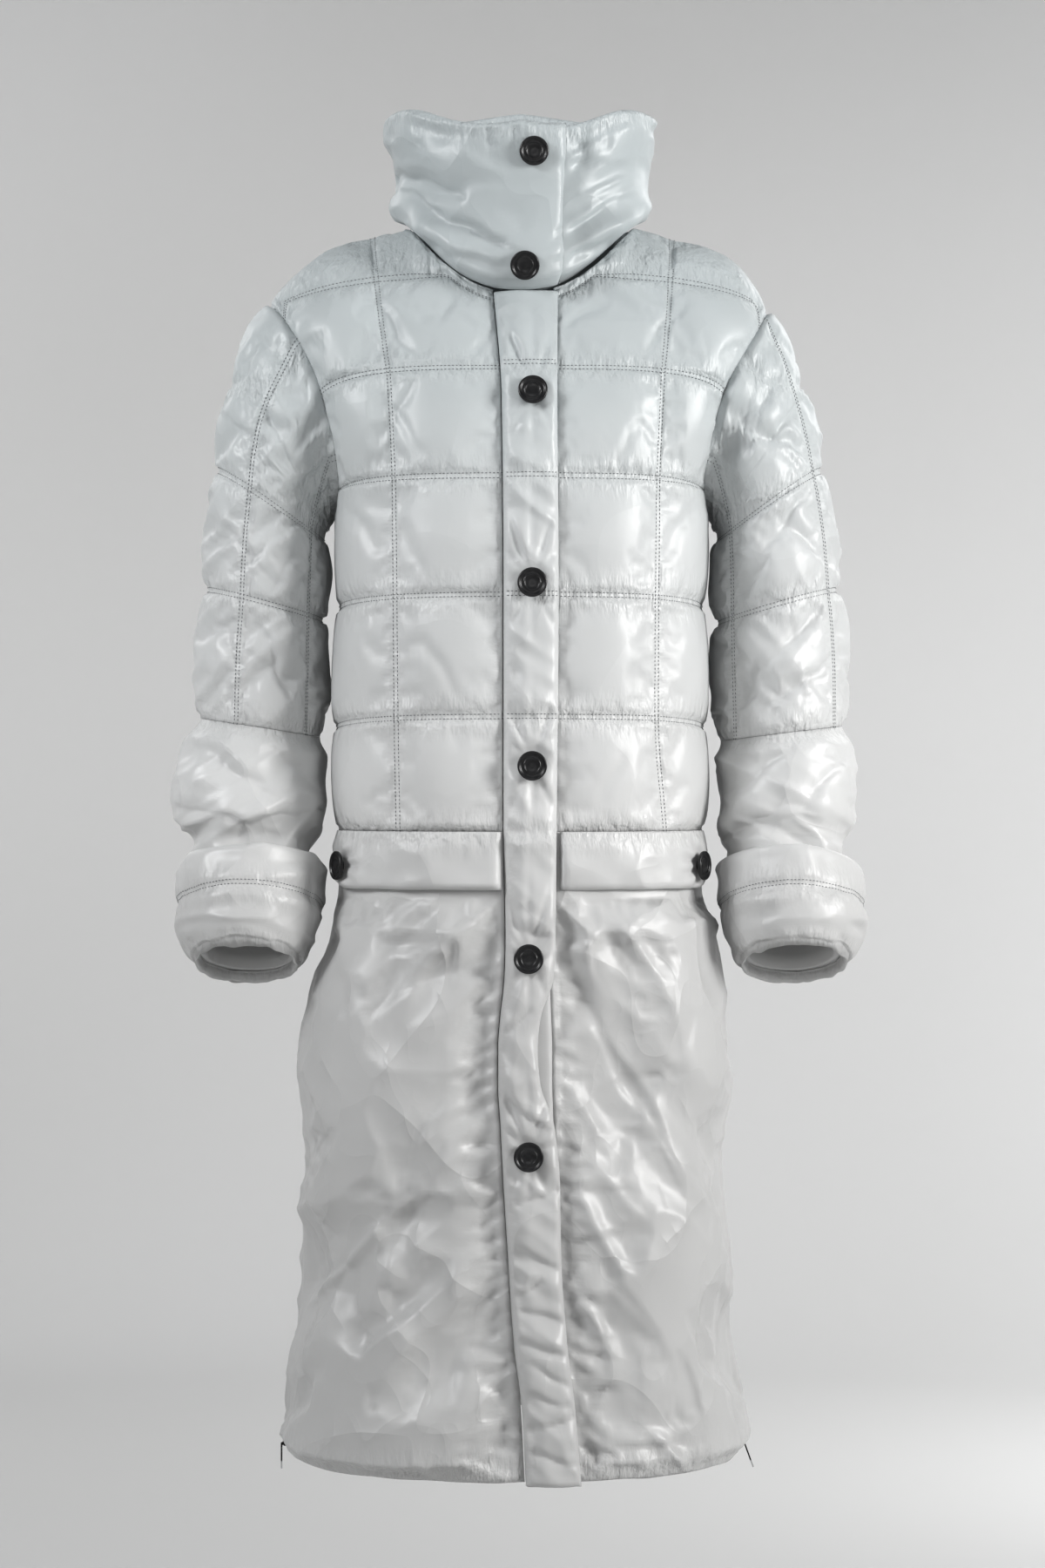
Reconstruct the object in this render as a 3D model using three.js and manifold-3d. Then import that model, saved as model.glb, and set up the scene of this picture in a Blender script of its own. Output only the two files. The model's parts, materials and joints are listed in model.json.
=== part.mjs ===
// Long padded coat, worn and buttoned, as a set of closed padded walls.
// Millimetres. +Z is up, the wearer faces -Y, and the wearer's left is +X.
// The origin is inside the neck, level with the side points of the neck seam.
import * as THREE from 'three';
import { mergeVertices } from 'three/addons/utils/BufferGeometryUtils.js';
import Module from 'manifold-3d';

// Driving dimensions
const GAP = 0.3;             // between pieces at a seam
const WALL = 12;             // padded wall at the crown of a quilt
const STITCH_SINK = 7;       // how far a stitched line lies below the crown
const SECTION_POWER = 2.5;   // roundness of the body's level sections, 2 is an ellipse
const RIDGE_ROUND = 90;      // height over which the shoulder rounds over its seam
const HEM_Z = -1212;
const BAND_Z = -600;         // seam between the quilted part and the skirt
const UNDERARM_Z = -290;
const NECK_HALF = 113;
const NECK_FRONT_Z = -78;
const NECK_BACK_Z = 15;
const CELL_STEPS = 3;        // rows of points in each quilt
const SIDE_STEPS = 4;        // columns of points in each quilt of a front or half back

const RIGHT = { name: 'right', sign: -1 };
const LEFT = { name: 'left', sign: 1 };

// Half widths and depths of the worn body, from the shoulders down
const BODY = [
  { z: 30, right: 330, left: 330, front: 60, back: 108 },
  { z: -40, right: 322, left: 322, front: 82, back: 124 },
  { z: -80, right: 304, left: 304, front: 99, back: 137 },
  { z: -130, right: 262, left: 264, front: 128, back: 150 },
  { z: -164, right: 240, left: 244, front: 144, back: 156 },
  { z: -197, right: 222, left: 225, front: 153, back: 160 },
  { z: -230, right: 206, left: 208, front: 160, back: 163 },
  { z: -262, right: 193, left: 194, front: 165, back: 165 },
  { z: UNDERARM_Z, right: 186, left: 187, front: 168, back: 166 },
  { z: -381, right: 187, left: 187, front: 171, back: 166 },
  { z: -500, right: 190, left: 188, front: 173, back: 170 },
  { z: BAND_Z, right: 188, left: 187, front: 174, back: 174 },
  { z: -654, right: 188, left: 187, front: 176, back: 177 },
  { z: -700, right: 196, left: 191, front: 179, back: 180 },
  { z: -766, right: 212, left: 202, front: 182, back: 185 },
  { z: -839, right: 220, left: 208, front: 185, back: 188 },
  { z: -919, right: 220, left: 206, front: 187, back: 190 },
  { z: -1019, right: 223, left: 208, front: 189, back: 193 },
  { z: -1099, right: 226, left: 210, front: 191, back: 196 },
  { z: -1152, right: 231, left: 216, front: 192, back: 198 },
  { z: HEM_Z, right: 238, left: 223, front: 193, back: 200 },
];

// Height of the shoulder ridge; inside the neck it only carries the rounding on
const RIDGE = [
  { x: 0, right: 45, left: 45 },
  { x: 30, right: 42, left: 42 },
  { x: 60, right: 32, left: 32 },
  { x: 90, right: 16, left: 16 },
  { x: NECK_HALF, right: 0, left: 0 },
  { x: 150, right: -8, left: -9 },
  { x: 190, right: -21, left: -22 },
  { x: 214, right: -38, left: -36 },
  { x: 233, right: -54, left: -58 },
  { x: 251, right: -71, left: -83 },
  { x: 255, right: -75, left: -88 },
];
const TIP_X = { right: 255, left: 251 };

// Armhole seam: distance from the middle at each height
const ARMHOLE = [
  { z: -75, right: 255, left: 257 },
  { z: -83, right: 246, left: 251 },
  { z: -115, right: 225, left: 234 },
  { z: -164, right: 202, left: 207 },
  { z: -197, right: 194, left: 196 },
  { z: -230, right: 187, left: 190 },
  { z: -262, right: 185, left: 186 },
  { z: UNDERARM_Z, right: 186, left: 187 },
];

// Level quilting lines of the body, and how far each one droops at the side
const QUILT_ROWS = [
  { z: -57, droop: 24 },
  { z: -153, droop: 23 },
  { z: -261, droop: 10 },
  { z: -375, droop: 8 },
  { z: -491, droop: 10 },
  { z: BAND_Z, droop: 0 },
];
const TOP_ROW = { middle: 8, side: 14 };   // least height of the first row of quilts
const UNDERARM_ROW = 3;
const UNDERARM_CROWD = 0.61;

// Upright quilting line on each side: distance from the middle
const UPRIGHT = [
  { z: -8, right: 149, left: 152 },
  { z: -57, right: 139, left: 143 },
  { z: -152, right: 129, left: 139 },
  { z: -260, right: 125, left: 136 },
  { z: -490, right: 122, left: 134 },
  { z: BAND_Z, right: 120, left: 143 },
];

// Fly: placket seam, free edge, and the under-placket's seam, as x at each height
const FLY = [
  { z: -78, seam: -27, edge: 36, under: 31 },
  { z: -183, seam: -19, edge: 35, under: 30 },
  { z: -376, seam: -17, edge: 36, under: 31 },
  { z: -600, seam: -17, edge: 34, under: 29 },
  { z: -700, seam: -15, edge: 33, under: 28 },
  { z: -738, seam: -16, edge: 31, under: 28 },
  { z: -775, seam: -20, edge: 19, under: 29 },
  { z: -805, seam: -22, edge: 16, under: 30 },
  { z: -840, seam: -22, edge: 19, under: 30 },
  { z: -873, seam: -20, edge: 31, under: 31 },
  { z: -930, seam: -17, edge: 37, under: 31 },
  { z: -995, seam: -13, edge: 38, under: 33 },
  { z: -1083, seam: -7, edge: 44, under: 39 },
  { z: -1140, seam: 0, edge: 51, under: 45 },
  { z: HEM_Z, seam: 4, edge: 57, under: 51 },
];

// Largest folds of the skirt's cloth: a line from (x0, z0) to (x1, z1) on one face
const FOLDS = [
  { face: 'front', x0: -41, z0: -745, x1: -172, z1: -890, width: 26, rise: 5 },
  { face: 'front', x0: -19, z0: -703, x1: -140, z1: -778, width: 20, rise: -5 },
  { face: 'front', x0: -182, z0: -1005, x1: -150, z1: -1150, width: 18, rise: -6 },
  { face: 'front', x0: 42, z0: -705, x1: 133, z1: -905, width: 24, rise: -5 },
  { face: 'front', x0: 75, z0: -780, x1: 140, z1: -860, width: 22, rise: 4 },
  { face: 'front', x0: 190, z0: -960, x1: 178, z1: -1160, width: 18, rise: -5 },
  { face: 'back', x0: 120, z0: -680, x1: 30, z1: -860, width: 26, rise: -5 },
  { face: 'back', x0: -130, z0: -690, x1: -60, z1: -900, width: 24, rise: -5 },
  { face: 'back', x0: -20, z0: -900, x1: -60, z1: -1150, width: 30, rise: 5 },
  { face: 'back', x0: 150, z0: -960, x1: 120, z1: -1160, width: 22, rise: -5 },
];

// Front buttons: place on the fly or collar
const BUTTON_RADIUS = 14;
const FRONT_BUTTONS = [
  { x: 12, z: 53, on: 'collar' },
  { x: 4, z: -56, on: 'collar' },
  { x: 11.5, z: -183, on: 'placket' },
  { x: 10.7, z: -365, on: 'placket' },
  { x: 10.7, z: -538, on: 'placket' },
  { x: 7.4, z: -720, on: 'placket' },
  { x: 7.4, z: -905, on: 'placket' },
];
const DIMPLE = { depth: 4, radius: 30 };
const FLAP = {
  drop: 55, clear: 1.7, inset: 15, cornerAt: 0.86, cornerRise: 0.16, buttonAngle: 62, buttonZ: -634,
};

// Funnel collar, from the neck seam up: how far it stands out from the neck seam
const COLLAR_STAND = [
  { up: 0, out: 0 },
  { up: 0.08, out: 9 },
  { up: 0.2, out: 14 },
  { up: 0.38, out: 12 },
  { up: 0.6, out: 15 },
  { up: 0.85, out: 22 },
  { up: 1, out: 22 },
];
const COLLAR_HEIGHT = [
  { turn: 0, height: 161 },
  { turn: 45, height: 138 },
  { turn: 90, height: 103 },
  { turn: 135, height: 108 },
  { turn: 180, height: 118 },
];
const COLLAR = {
  start: -9, end: 379, lap: 8.6, lapFrom: 20, lapEase: 55, lapFull: 9, splay: 1.12, columns: 42,
};
// How far the collar's outer and inner points lie inside its crown, from the neck seam up
const COLLAR_WALL = [
  { outer: 3, inner: 13 },
  { outer: 0, inner: 16 },
  { outer: 0, inner: 16 },
  { outer: 0, inner: 16 },
  { outer: 0, inner: 16 },
  { outer: 0, inner: 16 },
  { outer: 0.5, inner: 15.5 },
  { outer: 4, inner: 12 },
];

// Sleeve rings under the armhole: outer and inner points in the front view, the middle's y,
// the half depth and the forward tilt in degrees
const SLEEVE_UPPER = {
  right: [
    { xo: 284, zo: -130, xi: 187, zi: -297, y: -3, depth: 94, tilt: 0 },
    { xo: 300, zo: -188, xi: 188, zi: -304, y: -5, depth: 90, tilt: 0 },
    { xo: 306, zo: -243, xi: 190, zi: -314, y: -6, depth: 87, tilt: 0 },
    { xo: 313, zo: -302, xi: 191, zi: -350, y: -7, depth: 85, tilt: 0 },
    { xo: 317, zo: -362, xi: 192, zi: -392, y: -8, depth: 83, tilt: 0 },
    { xo: 322, zo: -425, xi: 193, zi: -449, y: -9, depth: 81, tilt: 0 },
    { xo: 324, zo: -489, xi: 194, zi: -509, y: -12, depth: 80, tilt: 0 },
  ],
  left: [
    { xo: 274, zo: -130, xi: 188, zi: -297, y: -3, depth: 94, tilt: 0 },
    { xo: 291, zo: -188, xi: 189, zi: -304, y: -5, depth: 90, tilt: 0 },
    { xo: 303, zo: -243, xi: 190, zi: -314, y: -6, depth: 87, tilt: 0 },
    { xo: 313, zo: -302, xi: 191, zi: -350, y: -7, depth: 85, tilt: 0 },
    { xo: 319, zo: -362, xi: 191, zi: -395, y: -8, depth: 83, tilt: 0 },
    { xo: 324, zo: -425, xi: 192, zi: -455, y: -9, depth: 81, tilt: 0 },
    { xo: 325, zo: -497, xi: 193, zi: -513, y: -12, depth: 80, tilt: 0 },
  ],
};
const SLEEVE_LOWER = {
  right: [
    { xo: 324, zo: -489, xi: 194, zi: -509, y: -12, depth: 80, tilt: 0 },
    { xo: 339, zo: -524, xi: 194, zi: -538, y: -19, depth: 81, tilt: 2 },
    { xo: 345, zo: -560, xi: 194, zi: -570, y: -28, depth: 81, tilt: 6 },
    { xo: 341, zo: -592, xi: 195, zi: -598, y: -37, depth: 78, tilt: 11 },
    { xo: 322, zo: -622, xi: 208, zi: -622, y: -46, depth: 65, tilt: 15 },
    { xo: 321, zo: -668, xi: 211, zi: -668, y: -60, depth: 62, tilt: 18 },
    { xo: 318, zo: -720.8, xi: 214, zi: -720.8, y: -76.7, depth: 59, tilt: 20 },
  ],
  left: [
    { xo: 325, zo: -497, xi: 193, zi: -513, y: -12, depth: 80, tilt: 0 },
    { xo: 332, zo: -529, xi: 193, zi: -540, y: -19, depth: 81, tilt: 2 },
    { xo: 332, zo: -562, xi: 193, zi: -572, y: -28, depth: 81, tilt: 6 },
    { xo: 330, zo: -594, xi: 194, zi: -600, y: -37, depth: 78, tilt: 11 },
    { xo: 316, zo: -622, xi: 206, zi: -622, y: -46, depth: 65, tilt: 15 },
    { xo: 316, zo: -668, xi: 210, zi: -668, y: -60, depth: 62, tilt: 18 },
    { xo: 316, zo: -720.8, xi: 212, zi: -720.8, y: -76.7, depth: 59, tilt: 20 },
  ],
};
// Turned-up cuff, from its top edge down to the fold
const CUFF = {
  right: [
    { xo: 335, zo: -638, xi: 193, zi: -634, y: -48, depth: 78, tilt: 19 },
    { xo: 338, zo: -652, xi: 193, zi: -650, y: -53, depth: 80, tilt: 19 },
    { xo: 338, zo: -690, xi: 197, zi: -690, y: -66, depth: 79, tilt: 20 },
    { xo: 334, zo: -716, xi: 202, zi: -718, y: -75, depth: 76, tilt: 20 },
    { xo: 324, zo: -729, xi: 210, zi: -729, y: -79, depth: 68, tilt: 20 },
  ],
  left: [
    { xo: 331, zo: -638, xi: 192, zi: -636, y: -48, depth: 78, tilt: 19 },
    { xo: 334, zo: -652, xi: 192, zi: -651, y: -53, depth: 80, tilt: 19 },
    { xo: 338, zo: -690, xi: 195, zi: -690, y: -66, depth: 79, tilt: 20 },
    { xo: 335, zo: -716, xi: 200, zi: -718, y: -75, depth: 76, tilt: 20 },
    { xo: 325, zo: -729, xi: 208, zi: -729, y: -79, depth: 68, tilt: 20 },
  ],
};
const CUFF_WALL = 9;
// Rows of the cuff's band: ring number from its top edge, and how far its outside is rounded in
const CUFF_ROWS = [
  { down: 0, sink: 3 },
  { down: 0.5, sink: 0 },
  { down: 1.5, sink: 0 },
  { down: 2.5, sink: 0 },
  { down: 3.3, sink: 0 },
];
// The fold's lip, turned in under the sleeve's end
const CUFF_LIP = { outerStart: 2, innerStart: 3, reach: 17, drop: 2, thick: 8.5 };
const SLEEVE_COLUMNS = 20;
const SLEEVE_WALL = 11;
const SLEEVE_SINK = 6;
const SLEEVE_STEPS = 2;       // rows of points between two sleeve rings
const SLEEVE_SEAM_EASE = 0.7; // rings over which the lower sleeve swells from the elbow seam
// Columns of the sleeve that carry an upright quilting line, counted forwards from the shoulder
const SLEEVE_UPRIGHTS = { right: [4, 8, 14, 19], left: [2, 8, 13, 17] };
const ARMHOLE_EASE = 0.3;             // extra clearance where the cap turns over the shoulder
const SLEEVE_FULL_ROWS = [3, 5, 7];   // ring numbers that are quilting lines, 7 is the elbow seam
const SLEEVE_CAP_LINE = 1.19;         // turns the cap's line towards the armhole

// Side hem zips
const ZIP = { top: -935, hidden: 30, slot: 3.4, tapeHalf: 3, tapeThick: 1.6, tapeSink: 9.2, rows: 6 };
const SLIDER = {
  half: 3, top: -1203, bottom: -1215, out: -1.5, pinRise: 1, pinOut: 0.6, lugInset: 1, lugFoot: 0.5, lugDrop: 4,
};
const PULL = {
  length: 24, corner: 1.5, thick: 1.4, cheek: 0.8, crotch: 0.8, headRadius: 1.7, pinRadius: 0.8, pinHalf: 1.2,
};
const PULL_REST = { right: 0, left: 20 };   // degrees outward from hanging straight down

// Materials
const cloth = new THREE.MeshStandardMaterial({ color: 0xc3cccb, roughness: 0.42, metalness: 0.05 });
const skirtCloth = new THREE.MeshStandardMaterial({ color: 0xb9bdbc, roughness: 0.4, metalness: 0.05 });
const blackButton = new THREE.MeshStandardMaterial({ color: 0x15161a, roughness: 0.22, metalness: 0.1 });
const blackMetal = new THREE.MeshStandardMaterial({ color: 0x1c1d20, roughness: 0.35, metalness: 0.8 });
const zipTape = new THREE.MeshStandardMaterial({ color: 0x8d9291, roughness: 0.8, metalness: 0 });

// Value of a column where the key column has the given value, on a smooth curve through the rows
function along(rows, key, column, at) {
  const rising = rows[rows.length - 1][key] > rows[0][key];
  const first = rows[0];
  const last = rows[rows.length - 1];
  if (rising ? at <= first[key] : at >= first[key]) return first[column];
  if (rising ? at >= last[key] : at <= last[key]) return last[column];
  let i = 0;
  while (rising ? rows[i + 1][key] < at : rows[i + 1][key] > at) i += 1;
  const slope = (a, b) => (rows[b][column] - rows[a][column]) / (rows[b][key] - rows[a][key]);
  const tangent = (k) => {
    if (k === 0) return slope(0, 1);
    if (k === rows.length - 1) return slope(k - 1, k);
    const before = slope(k - 1, k);
    const after = slope(k, k + 1);
    return before * after <= 0 ? 0 : (2 * before * after) / (before + after);
  };
  const span = rows[i + 1][key] - rows[i][key];
  const t = (at - rows[i][key]) / span;
  const t2 = t * t;
  const t3 = t2 * t;
  return (2 * t3 - 3 * t2 + 1) * rows[i][column] + (t3 - 2 * t2 + t) * span * tangent(i)
    + (3 * t2 - 2 * t3) * rows[i + 1][column] + (t3 - t2) * span * tangent(i + 1);
}

const mix = (a, b, t) => a + (b - a) * t;
const clamp01 = (t) => Math.min(Math.max(t, 0), 1);
const ease = (t) => clamp01(t) ** 2 * (3 - 2 * clamp01(t));
const signedPower = (value, power) => Math.sign(value) * Math.abs(value) ** power;

// Depth of the body's surface in front of or behind the middle plane, at distance out from the middle
function bodyDepth(side, face, out, z) {
  const half = along(BODY, 'z', side.name, z);
  const crown = along(BODY, 'z', face, z);
  const section = (1 - Math.min(Math.abs(out) / half, 1) ** SECTION_POWER) ** (1 / SECTION_POWER);
  const under = clamp01((along(RIDGE, 'x', side.name, Math.abs(out)) - z) / RIDGE_ROUND);
  return crown * section * Math.sqrt(1 - (1 - under) ** 2);
}

function bodyPoint(side, face, out, z) {
  const depth = bodyDepth(side, face, out, z);
  return new THREE.Vector3(side.sign * out, face === 'front' ? -depth : depth, z);
}

function neckHeight(face, out) {
  const share = Math.min(Math.abs(out) / NECK_HALF, 1);
  return face === 'front' ? NECK_FRONT_Z * (1 - share ** 2.2) : NECK_BACK_Z * (1 - share ** 2);
}

function topHeight(side, face, out) {
  return Math.abs(out) < NECK_HALF ? neckHeight(face, out) : along(RIDGE, 'x', side.name, out);
}

// Angle round the section at which the surface has the given distance out
function sectionAngle(side, out, z) {
  const half = along(BODY, 'z', side.name, z);
  return Math.asin(signedPower(Math.max(Math.min(out / half, 1), -1), SECTION_POWER / 2));
}

function outAtAngle(side, angle, z) {
  return along(BODY, 'z', side.name, z) * signedPower(Math.sin(angle), 2 / SECTION_POWER);
}

// Distance out where a panel starts: the middle of the back, the placket seam or the under-placket's seam
function innerEdge(side, face, z) {
  if (face === 'back') return 0;
  return side === RIGHT ? -along(FLY, 'z', 'seam', z) : along(FLY, 'z', 'under', z);
}

// Distance out on a level row: across is 0 at the inner edge, 1 at the upright line, 2 at the outer edge
function outOnRow(side, face, across, z) {
  const start = sectionAngle(side, innerEdge(side, face, z), z);
  const upright = sectionAngle(side, along(UPRIGHT, 'z', side.name, z), z);
  const edge = z > UNDERARM_Z ? along(ARMHOLE, 'z', side.name, z) : along(BODY, 'z', side.name, z);
  const stop = sectionAngle(side, edge, z);
  const angle = across < 1 ? mix(start, upright, across) : mix(upright, stop, across - 1);
  return outAtAngle(side, angle, z);
}

function rowHeight(row, across) {
  return QUILT_ROWS[row].z - QUILT_ROWS[row].droop * (across / 2) ** 3;
}

// Crown of a quilted panel. down is 0 at the neck and shoulder seam and counts the level quilting lines
function quiltedPoint(side, face, across, down) {
  if (down >= 2) {
    const row = Math.min(Math.floor(down), QUILT_ROWS.length - 1);
    const crowd = row === UNDERARM_ROW ? 1 + UNDERARM_CROWD * (across / 2) ** 4 : 1;
    const z = mix(rowHeight(row - 1, across), rowHeight(row, across), (down - row) ** crowd);
    return bodyPoint(side, face, outOnRow(side, face, across, z), z);
  }
  const tip = TIP_X[side.name];
  const uprightTop = UPRIGHT[0][side.name];
  const innerTop = innerEdge(side, face, NECK_FRONT_Z);
  const outTop = across < 1 ? mix(innerTop, uprightTop, across) : mix(uprightTop, tip, across - 1);
  const zTop = topHeight(side, face, outTop);
  const zSecond = rowHeight(1, across);
  const outSecond = outOnRow(side, face, across, zSecond);
  const zFirst = Math.min(rowHeight(0, across), zTop - TOP_ROW.middle - TOP_ROW.side * (across / 2) ** 4);
  const z = down < 1 ? mix(zTop, zFirst, down ** 2) : mix(zFirst, zSecond, down - 1);
  const share = (zTop - z) / (zTop - zSecond);
  const straight = mix(outTop, outSecond, share);
  const armholeSecond = along(ARMHOLE, 'z', side.name, rowHeight(1, 2));
  const bow = along(ARMHOLE, 'z', side.name, z) - mix(tip, armholeSecond, share);
  return bodyPoint(side, face, straight + (across > 1 ? bow * (across - 1) ** 2 : 0), z);
}

// Outward normal of a surface given as a function of two parameters
function normalOf(surface, u, v, range, outwardFrom) {
  const step = 0.02;
  const within = (value, [low, high]) => Math.min(Math.max(value, low), high);
  const at = (a, b) => surface(within(a, range.u), within(b, range.v));
  const du = at(u + step, v).sub(at(u - step, v));
  const dv = at(u, v + step).sub(at(u, v - step));
  const normal = du.cross(dv).normalize();
  return normal.dot(surface(u, v).sub(outwardFrom)) < 0 ? normal.negate() : normal;
}

const quiltCrown = (t) => Math.sqrt(Math.sin(Math.PI * clamp01(t - Math.floor(t))));

// One closed wall between two matching grids of points, given as rows from the top down
function wallGeometry(outer, inner, closed) {
  const rows = outer.length;
  const columns = outer[0].length;
  const points = [...outer.flat(), ...inner.flat()];
  const behind = rows * columns;
  const faces = [];
  const quad = (a, b, c, d) => faces.push([a, b, c], [a, c, d]);
  const wrap = closed ? columns : columns - 1;
  for (let r = 0; r < rows - 1; r += 1) {
    for (let c = 0; c < wrap; c += 1) {
      const a = r * columns + c;
      const b = r * columns + (c + 1) % columns;
      quad(a, a + columns, b + columns, b);
      quad(behind + a, behind + b, behind + b + columns, behind + a + columns);
    }
  }
  for (let c = 0; c < wrap; c += 1) {
    const next = (c + 1) % columns;
    const low = (rows - 1) * columns;
    if (closed && c >= columns / 2) quad(next, behind + next, behind + c, c);
    else quad(c, next, behind + next, behind + c);
    quad(low + c, behind + low + c, behind + low + next, low + next);
  }
  for (let r = 0; !closed && r < rows - 1; r += 1) {
    const a = r * columns;
    const b = a + columns - 1;
    quad(a, behind + a, behind + a + columns, a + columns);
    quad(b, b + columns, behind + b + columns, behind + b);
  }
  const volume = faces.reduce((sum, [a, b, c]) => sum
    + points[a].dot(new THREE.Vector3().crossVectors(points[b], points[c])), 0);
  const index = faces.flatMap(([a, b, c]) => (volume > 0 ? [a, b, c] : [a, c, b]));
  const geometry = new THREE.BufferGeometry();
  const places = points.flatMap((point) => point.toArray());
  geometry.setAttribute('position', new THREE.Float32BufferAttribute(places, 3));
  geometry.setIndex(index);
  geometry.computeVertexNormals();
  return geometry;
}

const coat = new THREE.Group();
let placket;
let collar;
const flaps = {};

function addMesh(name, geometry, material) {
  const mesh = new THREE.Mesh(geometry, material);
  mesh.name = name;
  coat.add(mesh);
  return mesh;
}

function grid(rows, columns, pointAt) {
  const row = (r) => Array.from({ length: columns + 1 }, (_, c) => pointAt(r, c));
  return Array.from({ length: rows + 1 }, (_, r) => row(r));
}

// Keeps a wall's points on their own side of the seams with its neighbours
function seamClamp(point, face, limits) {
  if (face === 'front') point.y = Math.min(point.y, -GAP / 2);
  else point.y = Math.max(point.y, GAP / 2);
  if (limits.x !== undefined) point.x = limits.x;
  if (limits.z !== undefined) point.z = limits.z;
  return point;
}

const axisPoint = (z) => new THREE.Vector3(0, 0, z);

// Quilted panels
const QUILT_RANGE = { u: [0, 2], v: [0, QUILT_ROWS.length] };

function quiltedWallPoint(side, face, across, down, sink) {
  const surface = (u, v) => quiltedPoint(side, face, u, v);
  const crown = surface(across, down);
  const inside = new THREE.Vector3(side.sign * 60, 0, crown.z - 60);
  const normal = normalOf(surface, across, down, QUILT_RANGE, inside);
  const point = crown.addScaledVector(normal, -sink);
  const limits = {};
  if (face === 'front' && across === 0) {
    limits.x = side.sign * (innerEdge(side, face, point.z) + GAP / 2);
  }
  if (face === 'back' && across === 0) limits.x = 0;
  if (down === QUILT_ROWS.length) limits.z = rowHeight(QUILT_ROWS.length - 1, across) + GAP / 2;
  return seamClamp(point, face, limits);
}

function quiltSink(across, down) {
  return STITCH_SINK * (1 - quiltCrown(across) * quiltCrown(down));
}

const QUILT_GRID = { rows: CELL_STEPS * QUILT_ROWS.length, columns: 2 * SIDE_STEPS };

for (const side of [RIGHT, LEFT]) {
  const at = (r, c, sinkAt) => {
    const across = c / SIDE_STEPS;
    const down = r / CELL_STEPS;
    return quiltedWallPoint(side, 'front', across, down, sinkAt(across, down));
  };
  const outer = grid(QUILT_GRID.rows, QUILT_GRID.columns, (r, c) => at(r, c, quiltSink));
  const inner = grid(QUILT_GRID.rows, QUILT_GRID.columns, (r, c) => at(r, c, () => WALL));
  addMesh(`front_${side.name}_quilted`, wallGeometry(outer, inner, false), cloth);
}

function backGrid(rows, columns, pointAt) {
  return grid(rows, 2 * columns, (r, c) => {
    const side = c < columns ? RIGHT : LEFT;
    return pointAt(side, r, Math.abs(c - columns));
  });
}

{
  const at = (side, r, c, sinkAt) => {
    const across = c / SIDE_STEPS;
    const down = r / CELL_STEPS;
    return quiltedWallPoint(side, 'back', across, down, sinkAt(across, down));
  };
  const outer = backGrid(QUILT_GRID.rows, QUILT_GRID.columns, (side, r, c) => at(side, r, c, quiltSink));
  const inner = backGrid(QUILT_GRID.rows, QUILT_GRID.columns, (side, r, c) => at(side, r, c, () => WALL));
  addMesh('back_quilted', wallGeometry(outer, inner, false), cloth);
}

// Skirt panels
const SKIRT_RANGE = { u: [0, 1], v: [0, 1] };
const SKIRT_GRID = { rows: 14, columns: 8 };
const SKIRT_TOP = QUILT_ROWS.length - 1;
const SKIRT_FIRST_ROW = 0.105;   // the first row of points lies just below the hip flap
// Where the skirt sinks towards its seams: heights in mm, sides as a share of the panel's width
const SKIRT_EDGE = { band: 40, hem: 25, hemShare: 0.8, side: 0.12, fly: 0.14, flapSpare: 5, mostRise: 4 };
const skirtDown = (r) => (r === 0 ? 0 : mix(SKIRT_FIRST_ROW, 1, (r - 1) / (SKIRT_GRID.rows - 1)));

function skirtPoint(side, face, across, down) {
  const z = mix(rowHeight(SKIRT_TOP, across * 2), HEM_Z, down);
  const start = sectionAngle(side, innerEdge(side, face, z), z);
  return bodyPoint(side, face, outAtAngle(side, mix(start, Math.PI / 2, across), z), z);
}

function foldRise(face, x, z) {
  return FOLDS.filter((fold) => fold.face === face).reduce((sum, fold) => {
    const dx = fold.x1 - fold.x0;
    const dz = fold.z1 - fold.z0;
    const t = clamp01(((x - fold.x0) * dx + (z - fold.z0) * dz) / (dx * dx + dz * dz));
    const away = Math.hypot(x - fold.x0 - t * dx, z - fold.z0 - t * dz);
    return sum + fold.rise * Math.exp(-((away / fold.width) ** 2));
  }, 0);
}

function skirtSink(face, across, point) {
  const drop = rowHeight(SKIRT_TOP, across * 2) - point.z;
  const flat = face === 'front' ? FLAP.drop + SKIRT_EDGE.flapSpare : 0;
  const top = 1 - ease((drop - flat) / SKIRT_EDGE.band);
  const hem = 1 - ease((point.z - HEM_Z) / SKIRT_EDGE.hem);
  const side = 1 - ease((1 - across) / SKIRT_EDGE.side);
  const fly = face === 'front' ? 1 - ease(across / SKIRT_EDGE.fly) : 0;
  const seams = STITCH_SINK * Math.max(top, side, fly, SKIRT_EDGE.hemShare * hem);
  const rise = foldRise(face, point.x, point.z) * (1 - Math.max(top, side, fly, hem));
  return Math.max(seams - rise, -SKIRT_EDGE.mostRise);
}

function skirtWallPoint(side, face, across, down, inner) {
  const surface = (u, v) => skirtPoint(side, face, u, v);
  const crown = surface(across, down);
  const sink = inner ? WALL : skirtSink(face, across, crown);
  const normal = normalOf(surface, across, down, SKIRT_RANGE, axisPoint(crown.z));
  const zipped = across === 1 && crown.z < ZIP.top;
  const point = crown.addScaledVector(normal, -sink);
  const limits = {};
  if (across === 0) limits.x = face === 'front' ? side.sign * (innerEdge(side, face, point.z) + GAP / 2) : 0;
  if (down === 0) limits.z = rowHeight(SKIRT_TOP, across * 2) - GAP / 2;
  if (down === 1) limits.z = HEM_Z;
  seamClamp(point, face, limits);
  if (zipped) point.y = (face === 'front' ? -1 : 1) * Math.max(Math.abs(point.y), ZIP.slot);
  return point;
}

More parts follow.
